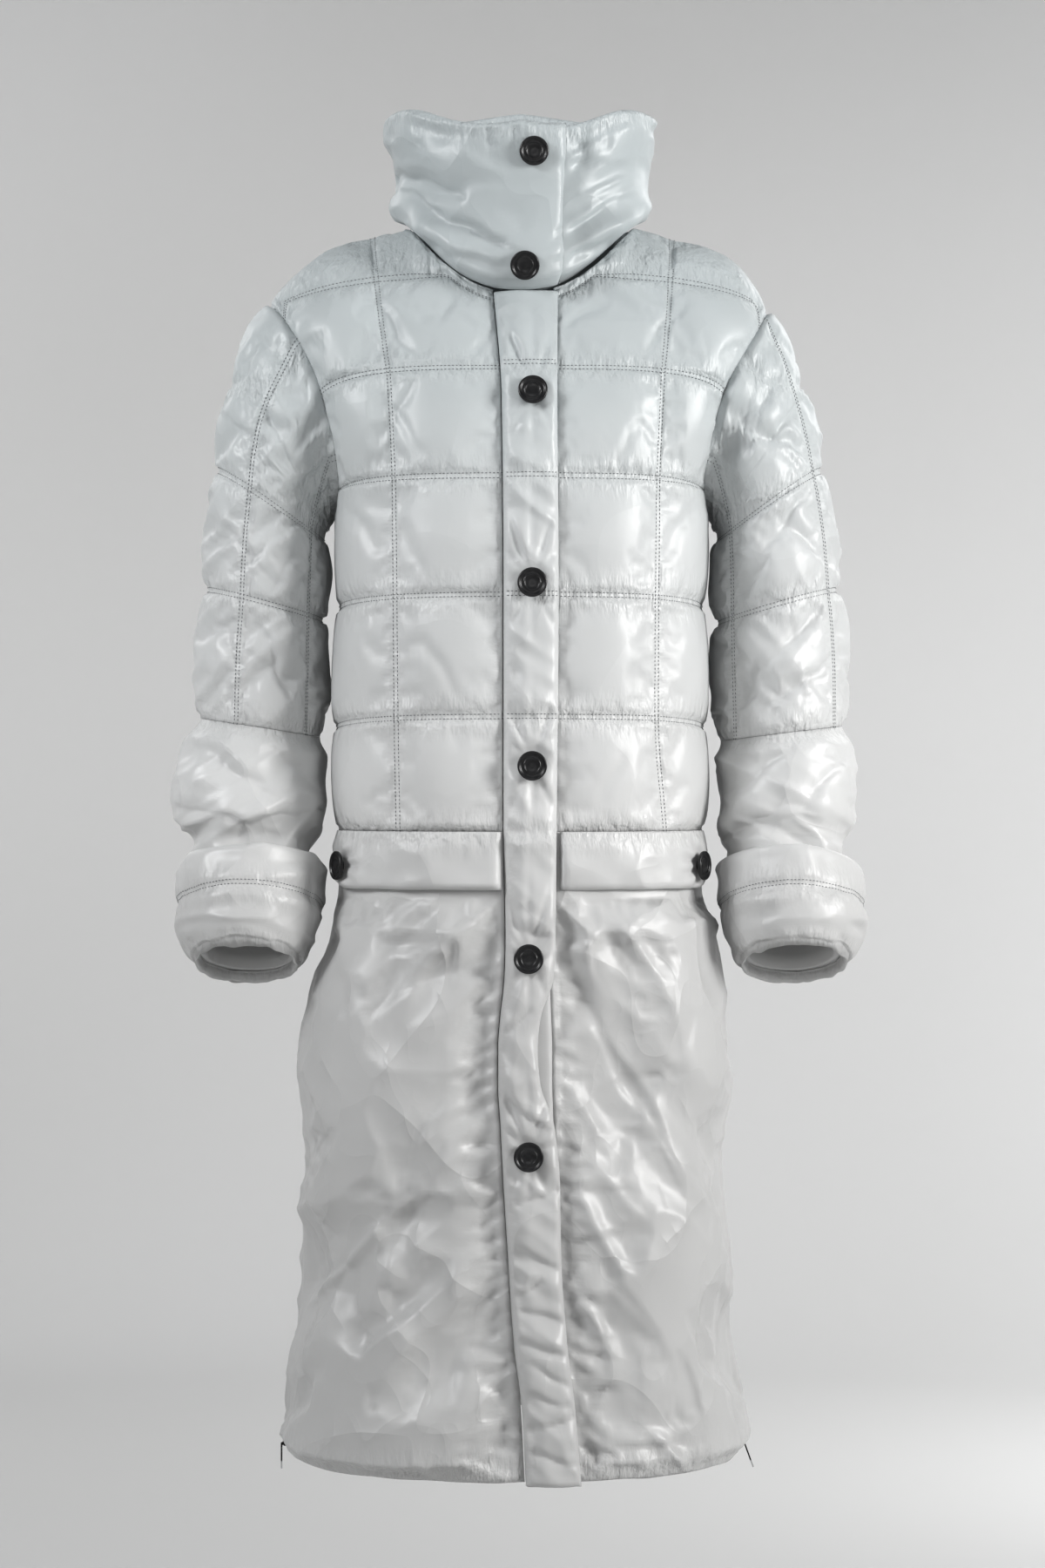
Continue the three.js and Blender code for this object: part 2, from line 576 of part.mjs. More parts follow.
for (const side of [RIGHT, LEFT]) {
  const at = (r, c, inner) => skirtWallPoint(side, 'front', c / SKIRT_GRID.columns, skirtDown(r), inner);
  const outer = grid(SKIRT_GRID.rows, SKIRT_GRID.columns, (r, c) => at(r, c, false));
  const inner = grid(SKIRT_GRID.rows, SKIRT_GRID.columns, (r, c) => at(r, c, true));
  addMesh(`skirt_front_${side.name}`, wallGeometry(outer, inner, false), skirtCloth);
}

{
  const at = (side, r, c, inner) => skirtWallPoint(side, 'back', c / SKIRT_GRID.columns, skirtDown(r), inner);
  const outer = backGrid(SKIRT_GRID.rows, SKIRT_GRID.columns, (side, r, c) => at(side, r, c, false));
  const inner = backGrid(SKIRT_GRID.rows, SKIRT_GRID.columns, (side, r, c) => at(side, r, c, true));
  addMesh('skirt_back', wallGeometry(outer, inner, false), skirtCloth);
}

// Place and outward normal on the front, at a given x and height
function frontFrame(x, z) {
  const side = x < 0 ? RIGHT : LEFT;
  const step = 1;
  const at = (px, pz) => {
    const own = px < 0 ? RIGHT : LEFT;
    return bodyPoint(own, 'front', Math.abs(px), pz);
  };
  const point = bodyPoint(side, 'front', Math.abs(x), z);
  const dx = at(x + step, z).sub(at(x - step, z));
  const dz = at(x, z + step).sub(at(x, z - step));
  const normal = dx.cross(dz).normalize();
  return { point, normal: normal.y > 0 ? normal.negate() : normal };
}

// Under-placket: a flat padded strip on the left front, level with it
const UNDER = { rise: -4.4, depth: -WALL, start: 10, rows: 26, columns: 2 };
{
  const at = (r, c, rise) => {
    const z = mix(NECK_FRONT_Z - GAP, HEM_Z, r / UNDER.rows);
    const first = along(FLY, 'z', 'seam', z) + UNDER.start;
    const last = along(FLY, 'z', 'under', z) - GAP / 2;
    const x = mix(first, last, c / UNDER.columns);
    const { point, normal } = frontFrame(x, z);
    return new THREE.Vector3(x, point.y + normal.y * rise, z);
  };
  const outer = grid(UNDER.rows, UNDER.columns, (r, c) => at(r, c, UNDER.rise));
  const inner = grid(UNDER.rows, UNDER.columns, (r, c) => at(r, c, UNDER.depth));
  addMesh('under_placket', wallGeometry(outer, inner, false), cloth);
}

// Placket: sewn to the right front at its seam, it laps over the under-placket to its free edge
const PLACKET_ACROSS = [
  { share: 0, crown: -STITCH_SINK, under: -WALL },
  { share: 0.16, crown: 1, under: -3.6 },
  { share: 0.45, crown: 6, under: -3.6 },
  { share: 0.75, crown: 6, under: -3.6 },
  { share: 0.95, crown: 3, under: -3.6 },
  { share: 1, crown: -0.5, under: -3 },
];
const PLACKET_ROWS = 46;
const PLACKET_DROP = 3;          // how far the placket hangs below the hem
const PLACKET_LINE = { sink: 4, half: 11 };
const PLACKET_SLACK = 0.7;      // clearance to the right front along the curved seam

function placketRise(x, z, crown) {
  const lines = QUILT_ROWS.map((row) => Math.exp(-(((z - row.z) / PLACKET_LINE.half) ** 2)));
  const lineSink = crown > 0 ? PLACKET_LINE.sink * Math.max(...lines) : 0;
  const dimple = FRONT_BUTTONS.filter((button) => button.on === 'placket')
    .map((button) => 1 - ease(Math.hypot(x - button.x, z - button.z) / DIMPLE.radius));
  const sink = crown > 0 ? DIMPLE.depth * Math.max(...dimple) : 0;
  return crown - Math.max(lineSink, sink);
}

function placketPoint(share, z, rise) {
  const x = mix(along(FLY, 'z', 'seam', z) + PLACKET_SLACK, along(FLY, 'z', 'edge', z), share);
  const { point, normal } = frontFrame(x, z);
  return new THREE.Vector3(x, point.y + normal.y * rise, z);
}

{
  const zAt = (r) => mix(NECK_FRONT_Z - GAP, HEM_Z - PLACKET_DROP, r / PLACKET_ROWS);
  const last = PLACKET_ACROSS.length - 1;
  const outer = grid(PLACKET_ROWS, last, (r, c) => {
    const { share, crown } = PLACKET_ACROSS[c];
    const x = mix(along(FLY, 'z', 'seam', zAt(r)), along(FLY, 'z', 'edge', zAt(r)), share);
    return placketPoint(share, zAt(r), placketRise(x, zAt(r), crown));
  });
  const inner = grid(PLACKET_ROWS, last, (r, c) => {
    const { share, under } = PLACKET_ACROSS[c];
    return placketPoint(share, zAt(r), under);
  });
  placket = addMesh('placket', wallGeometry(outer, inner, false), cloth);
}

// Hip flaps: hang from the band seam over the skirt
const FLAP_GRID = { rows: 3, columns: 8 };
const FLAP_SWELL = [
  { down: 0, rise: -2 },
  { down: 0.35, rise: 2.5 },
  { down: 0.8, rise: 3.5 },
  { down: 1, rise: 0.5 },
];

function flapPoint(side, across, down, rise) {
  const zBand = rowHeight(SKIRT_TOP, across * 2) - GAP;
  const corner = ease((across - FLAP.cornerAt) / (1 - FLAP.cornerAt));
  const z = zBand - FLAP.drop * down * (1 - FLAP.cornerRise * corner);
  const startOut = side === RIGHT ? innerEdge(side, 'front', z) + 2 : along(FLY, 'z', 'edge', z) + 4;
  const start = sectionAngle(side, startOut, z);
  const angle = mix(start, Math.PI / 2 - THREE.MathUtils.degToRad(FLAP.inset), across);
  const surface = (a, h) => bodyPoint(side, 'front', outAtAngle(side, a, h), h);
  const normal = normalOf(surface, angle, z, { u: [0, Math.PI / 2], v: [HEM_Z, 0] }, axisPoint(z));
  return surface(angle, z).addScaledVector(normal, rise);
}

for (const side of [RIGHT, LEFT]) {
  const outer = grid(FLAP_GRID.rows, FLAP_GRID.columns, (r, c) => {
    const down = r / FLAP_GRID.rows;
    return flapPoint(side, c / FLAP_GRID.columns, down, along(FLAP_SWELL, 'down', 'rise', down));
  });
  const inner = grid(FLAP_GRID.rows, FLAP_GRID.columns, (r, c) =>
    flapPoint(side, c / FLAP_GRID.columns, r / FLAP_GRID.rows, -STITCH_SINK + FLAP.clear));
  flaps[side.name] = addMesh(`hip_flap_${side.name}`, wallGeometry(outer, inner, false), skirtCloth);
}

// Collar: one strip that starts under the left front, goes round the neck and laps over its own start
function neckPoint(turn) {
  const angle = THREE.MathUtils.degToRad(turn);
  const side = Math.sin(angle) < 0 ? RIGHT : LEFT;
  const face = Math.cos(angle) > 0 ? 'front' : 'back';
  const out = NECK_HALF * Math.abs(Math.sin(angle));
  return bodyPoint(side, face, out, neckHeight(face, out));
}

function collarPoint(turn, up, sink) {
  const neck = neckPoint(turn);
  const nearTurn = Math.abs(((turn + 180) % 360 + 360) % 360 - 180);
  const height = along(COLLAR_HEIGHT, 'turn', 'height', nearTurn);
  const angle = THREE.MathUtils.degToRad(turn);
  const outward = new THREE.Vector3(Math.sin(angle), -Math.cos(angle) * COLLAR.splay, 0).normalize();
  const overEnd = ease((turn - (360 - COLLAR.lapEase)) / (COLLAR.lapEase - COLLAR.lapFull));
  const underEnd = 1 - ease((turn - COLLAR.lapFrom) / COLLAR.lapEase);
  const lap = COLLAR.lap * (overEnd - underEnd);
  const out = along(COLLAR_STAND, 'up', 'out', up) + lap - sink;
  return new THREE.Vector3(neck.x, neck.y, neck.z + 2 * GAP + up * height).addScaledVector(outward, out);
}

{
  const top = COLLAR_WALL.length - 1;
  const wall = (face) => grid(top, COLLAR.columns, (r, c) => {
    const turn = mix(COLLAR.start, COLLAR.end, c / COLLAR.columns);
    return collarPoint(turn, (top - r) / top, COLLAR_WALL[top - r][face]);
  });
  const outer = wall('outer');
  const inner = wall('inner');
  collar = addMesh('collar', wallGeometry(outer, inner, false), cloth);
}

// Sleeves. turn counts columns forwards from the outer side: 5 front, 10 inner, 15 back
const HALF_TURN = SLEEVE_COLUMNS / 2;

// The sleeve's columns meet the ends of the body panels' rows at the armhole
const armholeRow = (turn) => (turn <= HALF_TURN ? turn : SLEEVE_COLUMNS - turn) / CELL_STEPS;

function armholePoint(side, turn) {
  const face = turn <= HALF_TURN ? 'front' : 'back';
  const point = quiltedPoint(side, face, 2, armholeRow(turn));
  if (turn === 0 || turn === HALF_TURN) point.y = 0;
  return point;
}

// Point of the sewn armhole edge of the body's wall, below its crown by the given sink
function armholeEdge(side, turn, sink) {
  const face = turn <= HALF_TURN ? 'front' : 'back';
  const point = quiltedWallPoint(side, face, 2, armholeRow(turn), sink);
  if (turn > 0) return point;
  const behind = quiltedWallPoint(side, 'back', 2, 0, sink);
  const further = Math.max(Math.abs(point.x), Math.abs(behind.x));
  return new THREE.Vector3(side.sign * further, 0, (point.z + behind.z) / 2);
}

function ringPoint(side, ring, turn) {
  const angle = (turn / HALF_TURN) * Math.PI;
  const tilt = THREE.MathUtils.degToRad(ring.tilt);
  const middle = { out: (ring.xo + ring.xi) / 2, z: (ring.zo + ring.zi) / 2 };
  const reach = { out: (ring.xo - ring.xi) / 2, z: (ring.zo - ring.zi) / 2 };
  const forward = ring.depth * Math.sin(angle);
  return new THREE.Vector3(
    side.sign * (middle.out + reach.out * Math.cos(angle)),
    ring.y - forward * Math.cos(tilt),
    middle.z + reach.z * Math.cos(angle) + forward * Math.sin(tilt),
  );
}

// Point of a sleeve between its rings, on a smooth curve down the sleeve
function betweenRings(rings, down) {
  const last = rings.length - 1;
  const i = Math.min(Math.floor(down), last - 1);
  const t = down - i;
  const before = rings[Math.max(i - 1, 0)];
  const after = rings[Math.min(i + 2, last)];
  const from = rings[i];
  const to = rings[i + 1];
  const tangentFrom = to.clone().sub(before).multiplyScalar(i === 0 ? 1 : 0.5);
  const tangentTo = after.clone().sub(from).multiplyScalar(i + 1 === last ? 1 : 0.5);
  const t2 = t * t;
  const t3 = t2 * t;
  return from.clone().multiplyScalar(2 * t3 - 3 * t2 + 1)
    .addScaledVector(tangentFrom, t3 - 2 * t2 + t)
    .addScaledVector(to, 3 * t2 - 2 * t3)
    .addScaledVector(tangentTo, t3 - t2);
}

function sleeveSurface(side, table, turn, down, armhole) {
  const rings = table.map((ring) => ringPoint(side, ring, turn));
  if (armhole) rings.unshift(armholePoint(side, turn));
  return betweenRings(rings, down);
}

// How high the sleeve's quilting swells: 1 on a crown, 0 on a stitched line
function sleeveCrown(side, turn, down) {
  const lines = SLEEVE_UPRIGHTS[side.name];
  const next = lines.findIndex((line) => line > turn);
  const high = next < 0 ? lines[0] + SLEEVE_COLUMNS : lines[next];
  const low = next < 0 ? lines[lines.length - 1] : lines[(next + lines.length - 1) % lines.length];
  const lowTurn = low > turn ? low - SLEEVE_COLUMNS : low;
  const round = quiltCrown((turn - lowTurn) / (high - lowTurn));
  const [first, second, third] = SLEEVE_FULL_ROWS;
  if (down >= second) return round * quiltCrown((down - second) / (third - second));
  if (down >= first) return round * quiltCrown((down - first) / (second - first));
  const start = Math.min(SLEEVE_CAP_LINE * (1 - Math.cos((turn / HALF_TURN) * Math.PI)), 1.9);
  const level = mix(start, 2, down / first);
  const capRound = down === 0 ? 0 : round;
  return capRound * quiltCrown(level);
}

// Middle of a sleeve at a height, from four points round it
function ringCentre(surface, down) {
  const quarter = SLEEVE_COLUMNS / 4;
  const sum = new THREE.Vector3();
  for (let k = 0; k < 4; k += 1) sum.add(surface(k * quarter, down));
  return sum.multiplyScalar(1 / 4);
}

function sleeveWall(side, name, table, options) {
  const { armhole, sinkAt, wall, material } = options;
  const rings = table.length - 1 + (armhole ? 1 : 0);
  const rows = rings * SLEEVE_STEPS;
  const surface = (u, v) => sleeveSurface(side, table, (u + SLEEVE_COLUMNS) % SLEEVE_COLUMNS, v, armhole);
  const range = { u: [-1, SLEEVE_COLUMNS + 1], v: [0, rings] };
  const at = (r, c, sink) => {
    const down = r / SLEEVE_STEPS;
    const point = surface(c, down);
    const centre = ringCentre(surface, down);
    if (armhole && r === 0) {
      const inward = centre.clone().sub(point).setX(0).normalize();
      const shifted = point.addScaledVector(inward, sink);
      const sewn = armholeEdge(side, c, sink < SLEEVE_WALL ? STITCH_SINK : WALL);
      const onTop = ease((Math.cos((c / HALF_TURN) * Math.PI) + 0.6) / 0.8);
      return shifted.lerp(sewn, onTop).add(new THREE.Vector3(side.sign * (GAP + ARMHOLE_EASE * onTop), 0, 0));
    }
    if (r === 0 || r === rows) return point.addScaledVector(centre.sub(point).normalize(), sink);
    const normal = normalOf(surface, c, down, range, centre);
    return point.addScaledVector(normal, -sink);
  };
  const outer = grid(rows, SLEEVE_COLUMNS - 1, (r, c) => at(r, c, sinkAt(c, r / SLEEVE_STEPS)));
  const inner = grid(rows, SLEEVE_COLUMNS - 1, (r, c) => at(r, c, wall));
  addMesh(name, wallGeometry(outer, inner, true), material);
}

for (const side of [RIGHT, LEFT]) {
  sleeveWall(side, `sleeve_upper_${side.name}`, SLEEVE_UPPER[side.name], {
    armhole: true,
    sinkAt: (turn, down) => SLEEVE_SINK * (1 - sleeveCrown(side, turn, down)),
    wall: SLEEVE_WALL,
    material: cloth,
  });
  const [elbow, ...others] = SLEEVE_LOWER[side.name];
  const lowered = [{ ...elbow, zo: elbow.zo - GAP, zi: elbow.zi - GAP }, ...others];
  sleeveWall(side, `sleeve_lower_${side.name}`, lowered, {
    armhole: false,
    sinkAt: (turn, down) => SLEEVE_SINK * (1 - ease(down / SLEEVE_SEAM_EASE)),
    wall: SLEEVE_WALL,
    material: cloth,
  });
}

// Turned-up cuff: a folded band round the sleeve's end, with a lip under it
for (const side of [RIGHT, LEFT]) {
  const table = CUFF[side.name];
  const last = table.length - 1;
  const point = (down, turn, sink) => {
    const surface = (u, v) => sleeveSurface(side, table, (u + SLEEVE_COLUMNS) % SLEEVE_COLUMNS, v, false);
    const centre = ringCentre(surface, down);
    const range = { u: [-1, SLEEVE_COLUMNS + 1], v: [0, last] };
    return surface(turn, down).addScaledVector(normalOf(surface, turn, down, range, centre), -sink);
  };
  const toCentre = (turn, lift, reach) => {
    const { xo, xi, y, zo, zi } = table[last];
    const centre = new THREE.Vector3(side.sign * (xo + xi) / 2, y, (zo + zi) / 2);
    const edge = point(last, turn, 0);
    const inward = centre.sub(edge).normalize();
    return edge.addScaledVector(inward, reach).add(new THREE.Vector3(0, 0, lift));
  };
  const ring = (pointAt) => Array.from({ length: SLEEVE_COLUMNS }, (_, turn) => pointAt(turn));
  const outer = CUFF_ROWS.map(({ down, sink }) => ring((turn) => point(down, turn, sink)));
  const inner = CUFF_ROWS.map(({ down }) => ring((turn) => point(down, turn, CUFF_WALL)));
  outer.push(ring((turn) => toCentre(turn, -CUFF_LIP.drop, CUFF_LIP.outerStart)));
  outer.push(ring((turn) => toCentre(turn, -CUFF_LIP.drop, CUFF_LIP.reach)));
  inner.push(ring((turn) => toCentre(turn, CUFF_LIP.thick, CUFF_LIP.innerStart)));
  inner.push(ring((turn) => toCentre(turn, CUFF_LIP.thick, CUFF_LIP.reach)));
  addMesh(`cuff_${side.name}`, wallGeometry(outer, inner, true), cloth);
}

// Buttons: a disc with a raised rim on a short shank
const BUTTON = { shank: 5, lift: 4, thick: 4, edge: 1, rim: 2.4, rimSlope: 0.8, rimRise: 1, sides: 12 };
const RAY_START = 40;   // height above the cloth from which it is measured

function buttonGeometry(radius) {
  const top = BUTTON.lift + BUTTON.thick;
  const profile = [
    [0, 0],
    [BUTTON.shank, 0],
    [BUTTON.shank, BUTTON.lift],
    [radius - BUTTON.edge, BUTTON.lift],
    [radius, BUTTON.lift + BUTTON.edge],
    [radius, top],
    [radius - BUTTON.rim, top],
    [radius - BUTTON.rim - BUTTON.rimSlope, top - BUTTON.rimRise],
    [0, top - BUTTON.rimRise],
  ];
  const geometry = new THREE.LatheGeometry(profile.map(([r, h]) => new THREE.Vector2(r, h)), BUTTON.sides);
  geometry.rotateX(Math.PI / 2);
  return geometry;
}

// Height above a point, along the normal, at which a ring of the button clears the cloth
function clothHeight(cloth, point, normal, radius) {
  const aside = new THREE.Vector3(0, 0, 1).cross(normal).normalize();
  const upward = normal.clone().cross(aside);
  const ray = new THREE.Raycaster();
  const heights = Array.from({ length: 2 * BUTTON.sides + 1 }, (_, i) => {
    const angle = (i / BUTTON.sides) * 2 * Math.PI;
    const reach = radius * (1 - Math.floor(i / BUTTON.sides) / 2) * (i < 2 * BUTTON.sides ? 1 : 0);
    const start = point.clone().addScaledVector(normal, RAY_START)
      .addScaledVector(aside, reach * Math.cos(angle)).addScaledVector(upward, reach * Math.sin(angle));
    ray.set(start, normal.clone().negate());
    const hits = ray.intersectObject(cloth);
    return hits.length ? RAY_START - hits[0].distance : -Infinity;
  });
  return Math.max(...heights);
}

function addButton(name, point, normal, cloth) {
  const mesh = addMesh(name, buttonGeometry(BUTTON_RADIUS), blackButton);
  const shankHeight = clothHeight(cloth, point, normal, BUTTON.shank);
  const discHeight = clothHeight(cloth, point, normal, BUTTON_RADIUS) - BUTTON.lift;
  mesh.position.copy(point).addScaledVector(normal, Math.max(shankHeight, discHeight) + GAP);
  mesh.quaternion.setFromUnitVectors(new THREE.Vector3(0, 0, 1), normal);
}

function collarSeat({ x, z }) {
  const turn = 360 + THREE.MathUtils.radToDeg(Math.asin(x / (NECK_HALF + 20)));
  const base = neckPoint(turn).z;
  const up = (z - base) / along(COLLAR_HEIGHT, 'turn', 'height', 0);
  const surface = (u, v) => collarPoint(u * 90, v, 0);
  const normal = normalOf(surface, turn / 90, up, { u: [3, 5], v: [0, 1] }, axisPoint(z));
  return { point: surface(turn / 90, up), normal };
}

FRONT_BUTTONS.forEach((button, i) => {
  const name = `button_${i + 1}`;
  if (button.on === 'collar') {
    const seat = collarSeat(button);
    addButton(name, seat.point, seat.normal, collar);
    return;
  }
  const { point, normal } = frontFrame(button.x, button.z);
  addButton(name, point, normal, placket);
});

for (const side of [RIGHT, LEFT]) {
  const angle = THREE.MathUtils.degToRad(FLAP.buttonAngle);
  const surface = (a, h) => bodyPoint(side, 'front', outAtAngle(side, a, h), h);
  const range = { u: [0, Math.PI / 2], v: [HEM_Z, 0] };
  const normal = normalOf(surface, angle, FLAP.buttonZ, range, axisPoint(FLAP.buttonZ));
  addButton(`flap_button_${side.name}`, surface(angle, FLAP.buttonZ), normal, flaps[side.name]);
}

// One closed geometry from two that overlap
const wasm = await Module();
wasm.setup();

function solidOf(geometry) {
  const bare = geometry.clone();
  bare.deleteAttribute('normal');
  bare.deleteAttribute('uv');
  const merged = mergeVertices(bare, 1e-3);
  const triVerts = new Uint32Array(merged.index.array);
  const vertProperties = merged.attributes.position.array;
  return new wasm.Manifold(new wasm.Mesh({ numProp: 3, vertProperties, triVerts }));
}

function joined(first, second) {
  const mesh = solidOf(first).add(solidOf(second)).getMesh();
  const geometry = new THREE.BufferGeometry();
  geometry.setAttribute('position', new THREE.BufferAttribute(mesh.vertProperties, 3));
  geometry.setIndex(new THREE.BufferAttribute(mesh.triVerts, 1));
  geometry.computeVertexNormals();
  return geometry;
}

// Side hem zips: a tape strip in the open side seam, a slider at the hem and its pull tab
for (const side of [RIGHT, LEFT]) {
  const crownAt = (z) => along(BODY, 'z', side.name, z);
  const tapeAt = (r, c, sink) => {
    const z = mix(ZIP.top - ZIP.hidden, HEM_Z, r / ZIP.rows);
    return new THREE.Vector3(side.sign * (crownAt(z) - sink), mix(-ZIP.tapeHalf, ZIP.tapeHalf, c), z);
  };
  const outer = grid(ZIP.rows, 1, (r, c) => tapeAt(r, c, ZIP.tapeSink));
  const inner = grid(ZIP.rows, 1, (r, c) => tapeAt(r, c, ZIP.tapeSink + ZIP.tapeThick));
  addMesh(`zip_tape_${side.name}`, wallGeometry(outer, inner, false), zipTape);

  // Slider: a block over the tape with a lug that carries the pull tab at its lower outer corner
  const face = crownAt(HEM_Z) + SLIDER.out;
  const back = crownAt(HEM_Z) - ZIP.tapeSink + GAP;
  const pivot = { out: face + PULL.headRadius + SLIDER.pinOut, z: SLIDER.bottom + SLIDER.pinRise };
  const body = new THREE.BoxGeometry(face - back, 2 * SLIDER.half, SLIDER.top - SLIDER.bottom);
  body.translate(side.sign * (face + back) / 2, 0, (SLIDER.top + SLIDER.bottom) / 2);
  const lugCorners = [
    [face - SLIDER.lugInset, SLIDER.bottom + SLIDER.lugFoot],
    [pivot.out, pivot.z - PULL.pinRadius],
    [pivot.out + PULL.pinRadius, pivot.z],
    [pivot.out, pivot.z + PULL.pinRadius],
    [face - SLIDER.lugInset, SLIDER.top - SLIDER.lugDrop],
  ];
  const outline = new THREE.Shape(lugCorners.map(([out, z]) => new THREE.Vector2(side.sign * out, z)));
  const lug = new THREE.ExtrudeGeometry(outline, { depth: 2 * PULL.pinHalf, bevelEnabled: false, steps: 1 });
  lug.translate(0, 0, -PULL.pinHalf).rotateX(Math.PI / 2);
  addMesh(`zip_slider_${side.name}`, joined(body, lug), blackMetal);

  // Pull tab: two cheeks beside the pin joined by a long plate
  const tab = new THREE.Shape();
  const headTop = PULL.headRadius;
  const slotHalf = PULL.pinHalf + GAP;
  const half = slotHalf + PULL.cheek;
  const slotEnd = -PULL.headRadius - PULL.crotch;
  tab.moveTo(-half, headTop);
  tab.lineTo(-half, PULL.corner - PULL.length);
  tab.lineTo(-slotHalf, -PULL.length);
  tab.lineTo(slotHalf, -PULL.length);
  tab.lineTo(half, PULL.corner - PULL.length);
  tab.lineTo(half, headTop);
  tab.lineTo(slotHalf, headTop);
  tab.lineTo(slotHalf, slotEnd);
  tab.lineTo(-slotHalf, slotEnd);
  tab.lineTo(-slotHalf, headTop);
  const pull = new THREE.ExtrudeGeometry(tab, { depth: PULL.thick, bevelEnabled: false, steps: 1 });
  pull.translate(0, 0, -PULL.thick / 2).rotateX(Math.PI / 2).rotateZ(Math.PI / 2);
  const mesh = addMesh(`zip_pull_${side.name}`, pull, blackMetal);
  mesh.position.set(side.sign * pivot.out, 0, pivot.z);
  mesh.rotation.y = -side.sign * THREE.MathUtils.degToRad(PULL_REST[side.name]);
}

export default coat;
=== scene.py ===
import json
import math

import bpy
import numpy as np
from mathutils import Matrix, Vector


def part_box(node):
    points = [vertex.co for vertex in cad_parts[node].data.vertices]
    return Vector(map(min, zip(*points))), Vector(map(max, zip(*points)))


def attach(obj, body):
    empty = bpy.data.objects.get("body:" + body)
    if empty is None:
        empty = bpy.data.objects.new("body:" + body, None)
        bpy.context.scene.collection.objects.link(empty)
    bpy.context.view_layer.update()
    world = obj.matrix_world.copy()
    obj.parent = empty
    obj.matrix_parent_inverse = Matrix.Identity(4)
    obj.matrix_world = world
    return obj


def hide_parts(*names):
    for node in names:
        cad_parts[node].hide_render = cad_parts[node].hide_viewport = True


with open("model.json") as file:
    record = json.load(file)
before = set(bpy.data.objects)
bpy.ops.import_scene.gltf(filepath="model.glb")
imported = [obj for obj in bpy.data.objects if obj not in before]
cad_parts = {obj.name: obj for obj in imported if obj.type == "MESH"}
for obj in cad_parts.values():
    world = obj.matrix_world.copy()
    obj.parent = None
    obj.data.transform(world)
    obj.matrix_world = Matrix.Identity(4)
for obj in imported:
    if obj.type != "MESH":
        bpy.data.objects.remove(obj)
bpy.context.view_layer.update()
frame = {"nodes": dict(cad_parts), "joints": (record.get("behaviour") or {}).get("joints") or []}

# Long padded coat, worn and buttoned. Lengths in the tables are millimetres, +Z is up,
# the wearer faces -Y and the wearer's left is +X, as in the frame.
MM = 0.001

# Driving dimensions
GAP = 0.3                # between pieces at a seam
WALL = 12                # padded wall at the crown of a quilt
STITCH_SINK = 7          # how far a stitched line lies below the crown
SECTION_POWER = 2.5      # roundness of the body's level sections, 2 is an ellipse
RIDGE_ROUND = 90         # height over which the shoulder rounds over its seam
HEM_Z = -1212
BAND_Z = -600            # seam between the quilted part and the skirt
ROW_HEIGHT = 105         # usual height of a quilt
COLUMN_WIDTH = 140       # usual width of a quilt on the body
UNDERARM_Z = -290
NECK_HALF = 113
NECK_FRONT_Z = -78
NECK_BACK_Z = 15
COARSE = 3               # the plain inside has one row of points for this many outside
SIGN = {"right": -1, "left": 1}
SIDES = ("right", "left")


def table(columns, *rows):
    return dict(zip(columns.split(), np.array(rows, float).T))


# Half widths and depths of the worn body, from the shoulders down
BODY = table(
    "z right left front back",
    (30, 330, 330, 60, 108), (-40, 322, 322, 82, 124), (-80, 304, 304, 99, 137),
    (-130, 262, 264, 128, 150), (-164, 240, 244, 144, 156), (-197, 222, 225, 153, 160),
    (-230, 206, 208, 160, 163), (-262, 193, 194, 165, 165), (-290, 186, 187, 168, 166),
    (-381, 187, 187, 171, 166), (-500, 190, 188, 173, 170), (-600, 188, 187, 174, 174),
    (-654, 188, 187, 176, 177), (-700, 196, 191, 179, 180), (-766, 212, 202, 182, 185),
    (-839, 220, 208, 185, 188), (-919, 220, 206, 187, 190), (-1019, 223, 208, 189, 193),
    (-1099, 226, 210, 191, 196), (-1152, 231, 216, 192, 198), (-1212, 238, 223, 193, 200),
)
# Height of the shoulder ridge
RIDGE = table(
    "x right left",
    (0, 45, 45), (30, 42, 42), (60, 32, 32), (90, 16, 16), (113, 0, 0), (150, -8, -9),
    (190, -21, -22), (214, -38, -36), (233, -54, -58), (251, -71, -83), (255, -75, -88),
)
TIP_X = {"right": 255, "left": 251}
# Armhole seam: distance from the middle at each height
ARMHOLE = table(
    "z right left",
    (-75, 255, 257), (-83, 246, 251), (-115, 225, 234), (-164, 202, 207),
    (-197, 194, 196), (-230, 187, 190), (-262, 185, 186), (-290, 186, 187),
)
# Level quilting lines of the body, and how far each one droops at the side
QUILT_Z = np.array([-57, -153, -261, -375, -491, BAND_Z], float)
QUILT_DROOP = np.array([24, 23, 10, 8, 10, 0], float)
TOP_ROW = {"middle": 8, "side": 14}
UNDERARM_ROW = 3
UNDERARM_CROWD = 0.61
UPRIGHT = table(
    "z right left",
    (-8, 149, 152), (-57, 139, 143), (-152, 129, 139), (-260, 125, 136), (-490, 122, 134), (-600, 120, 143),
)
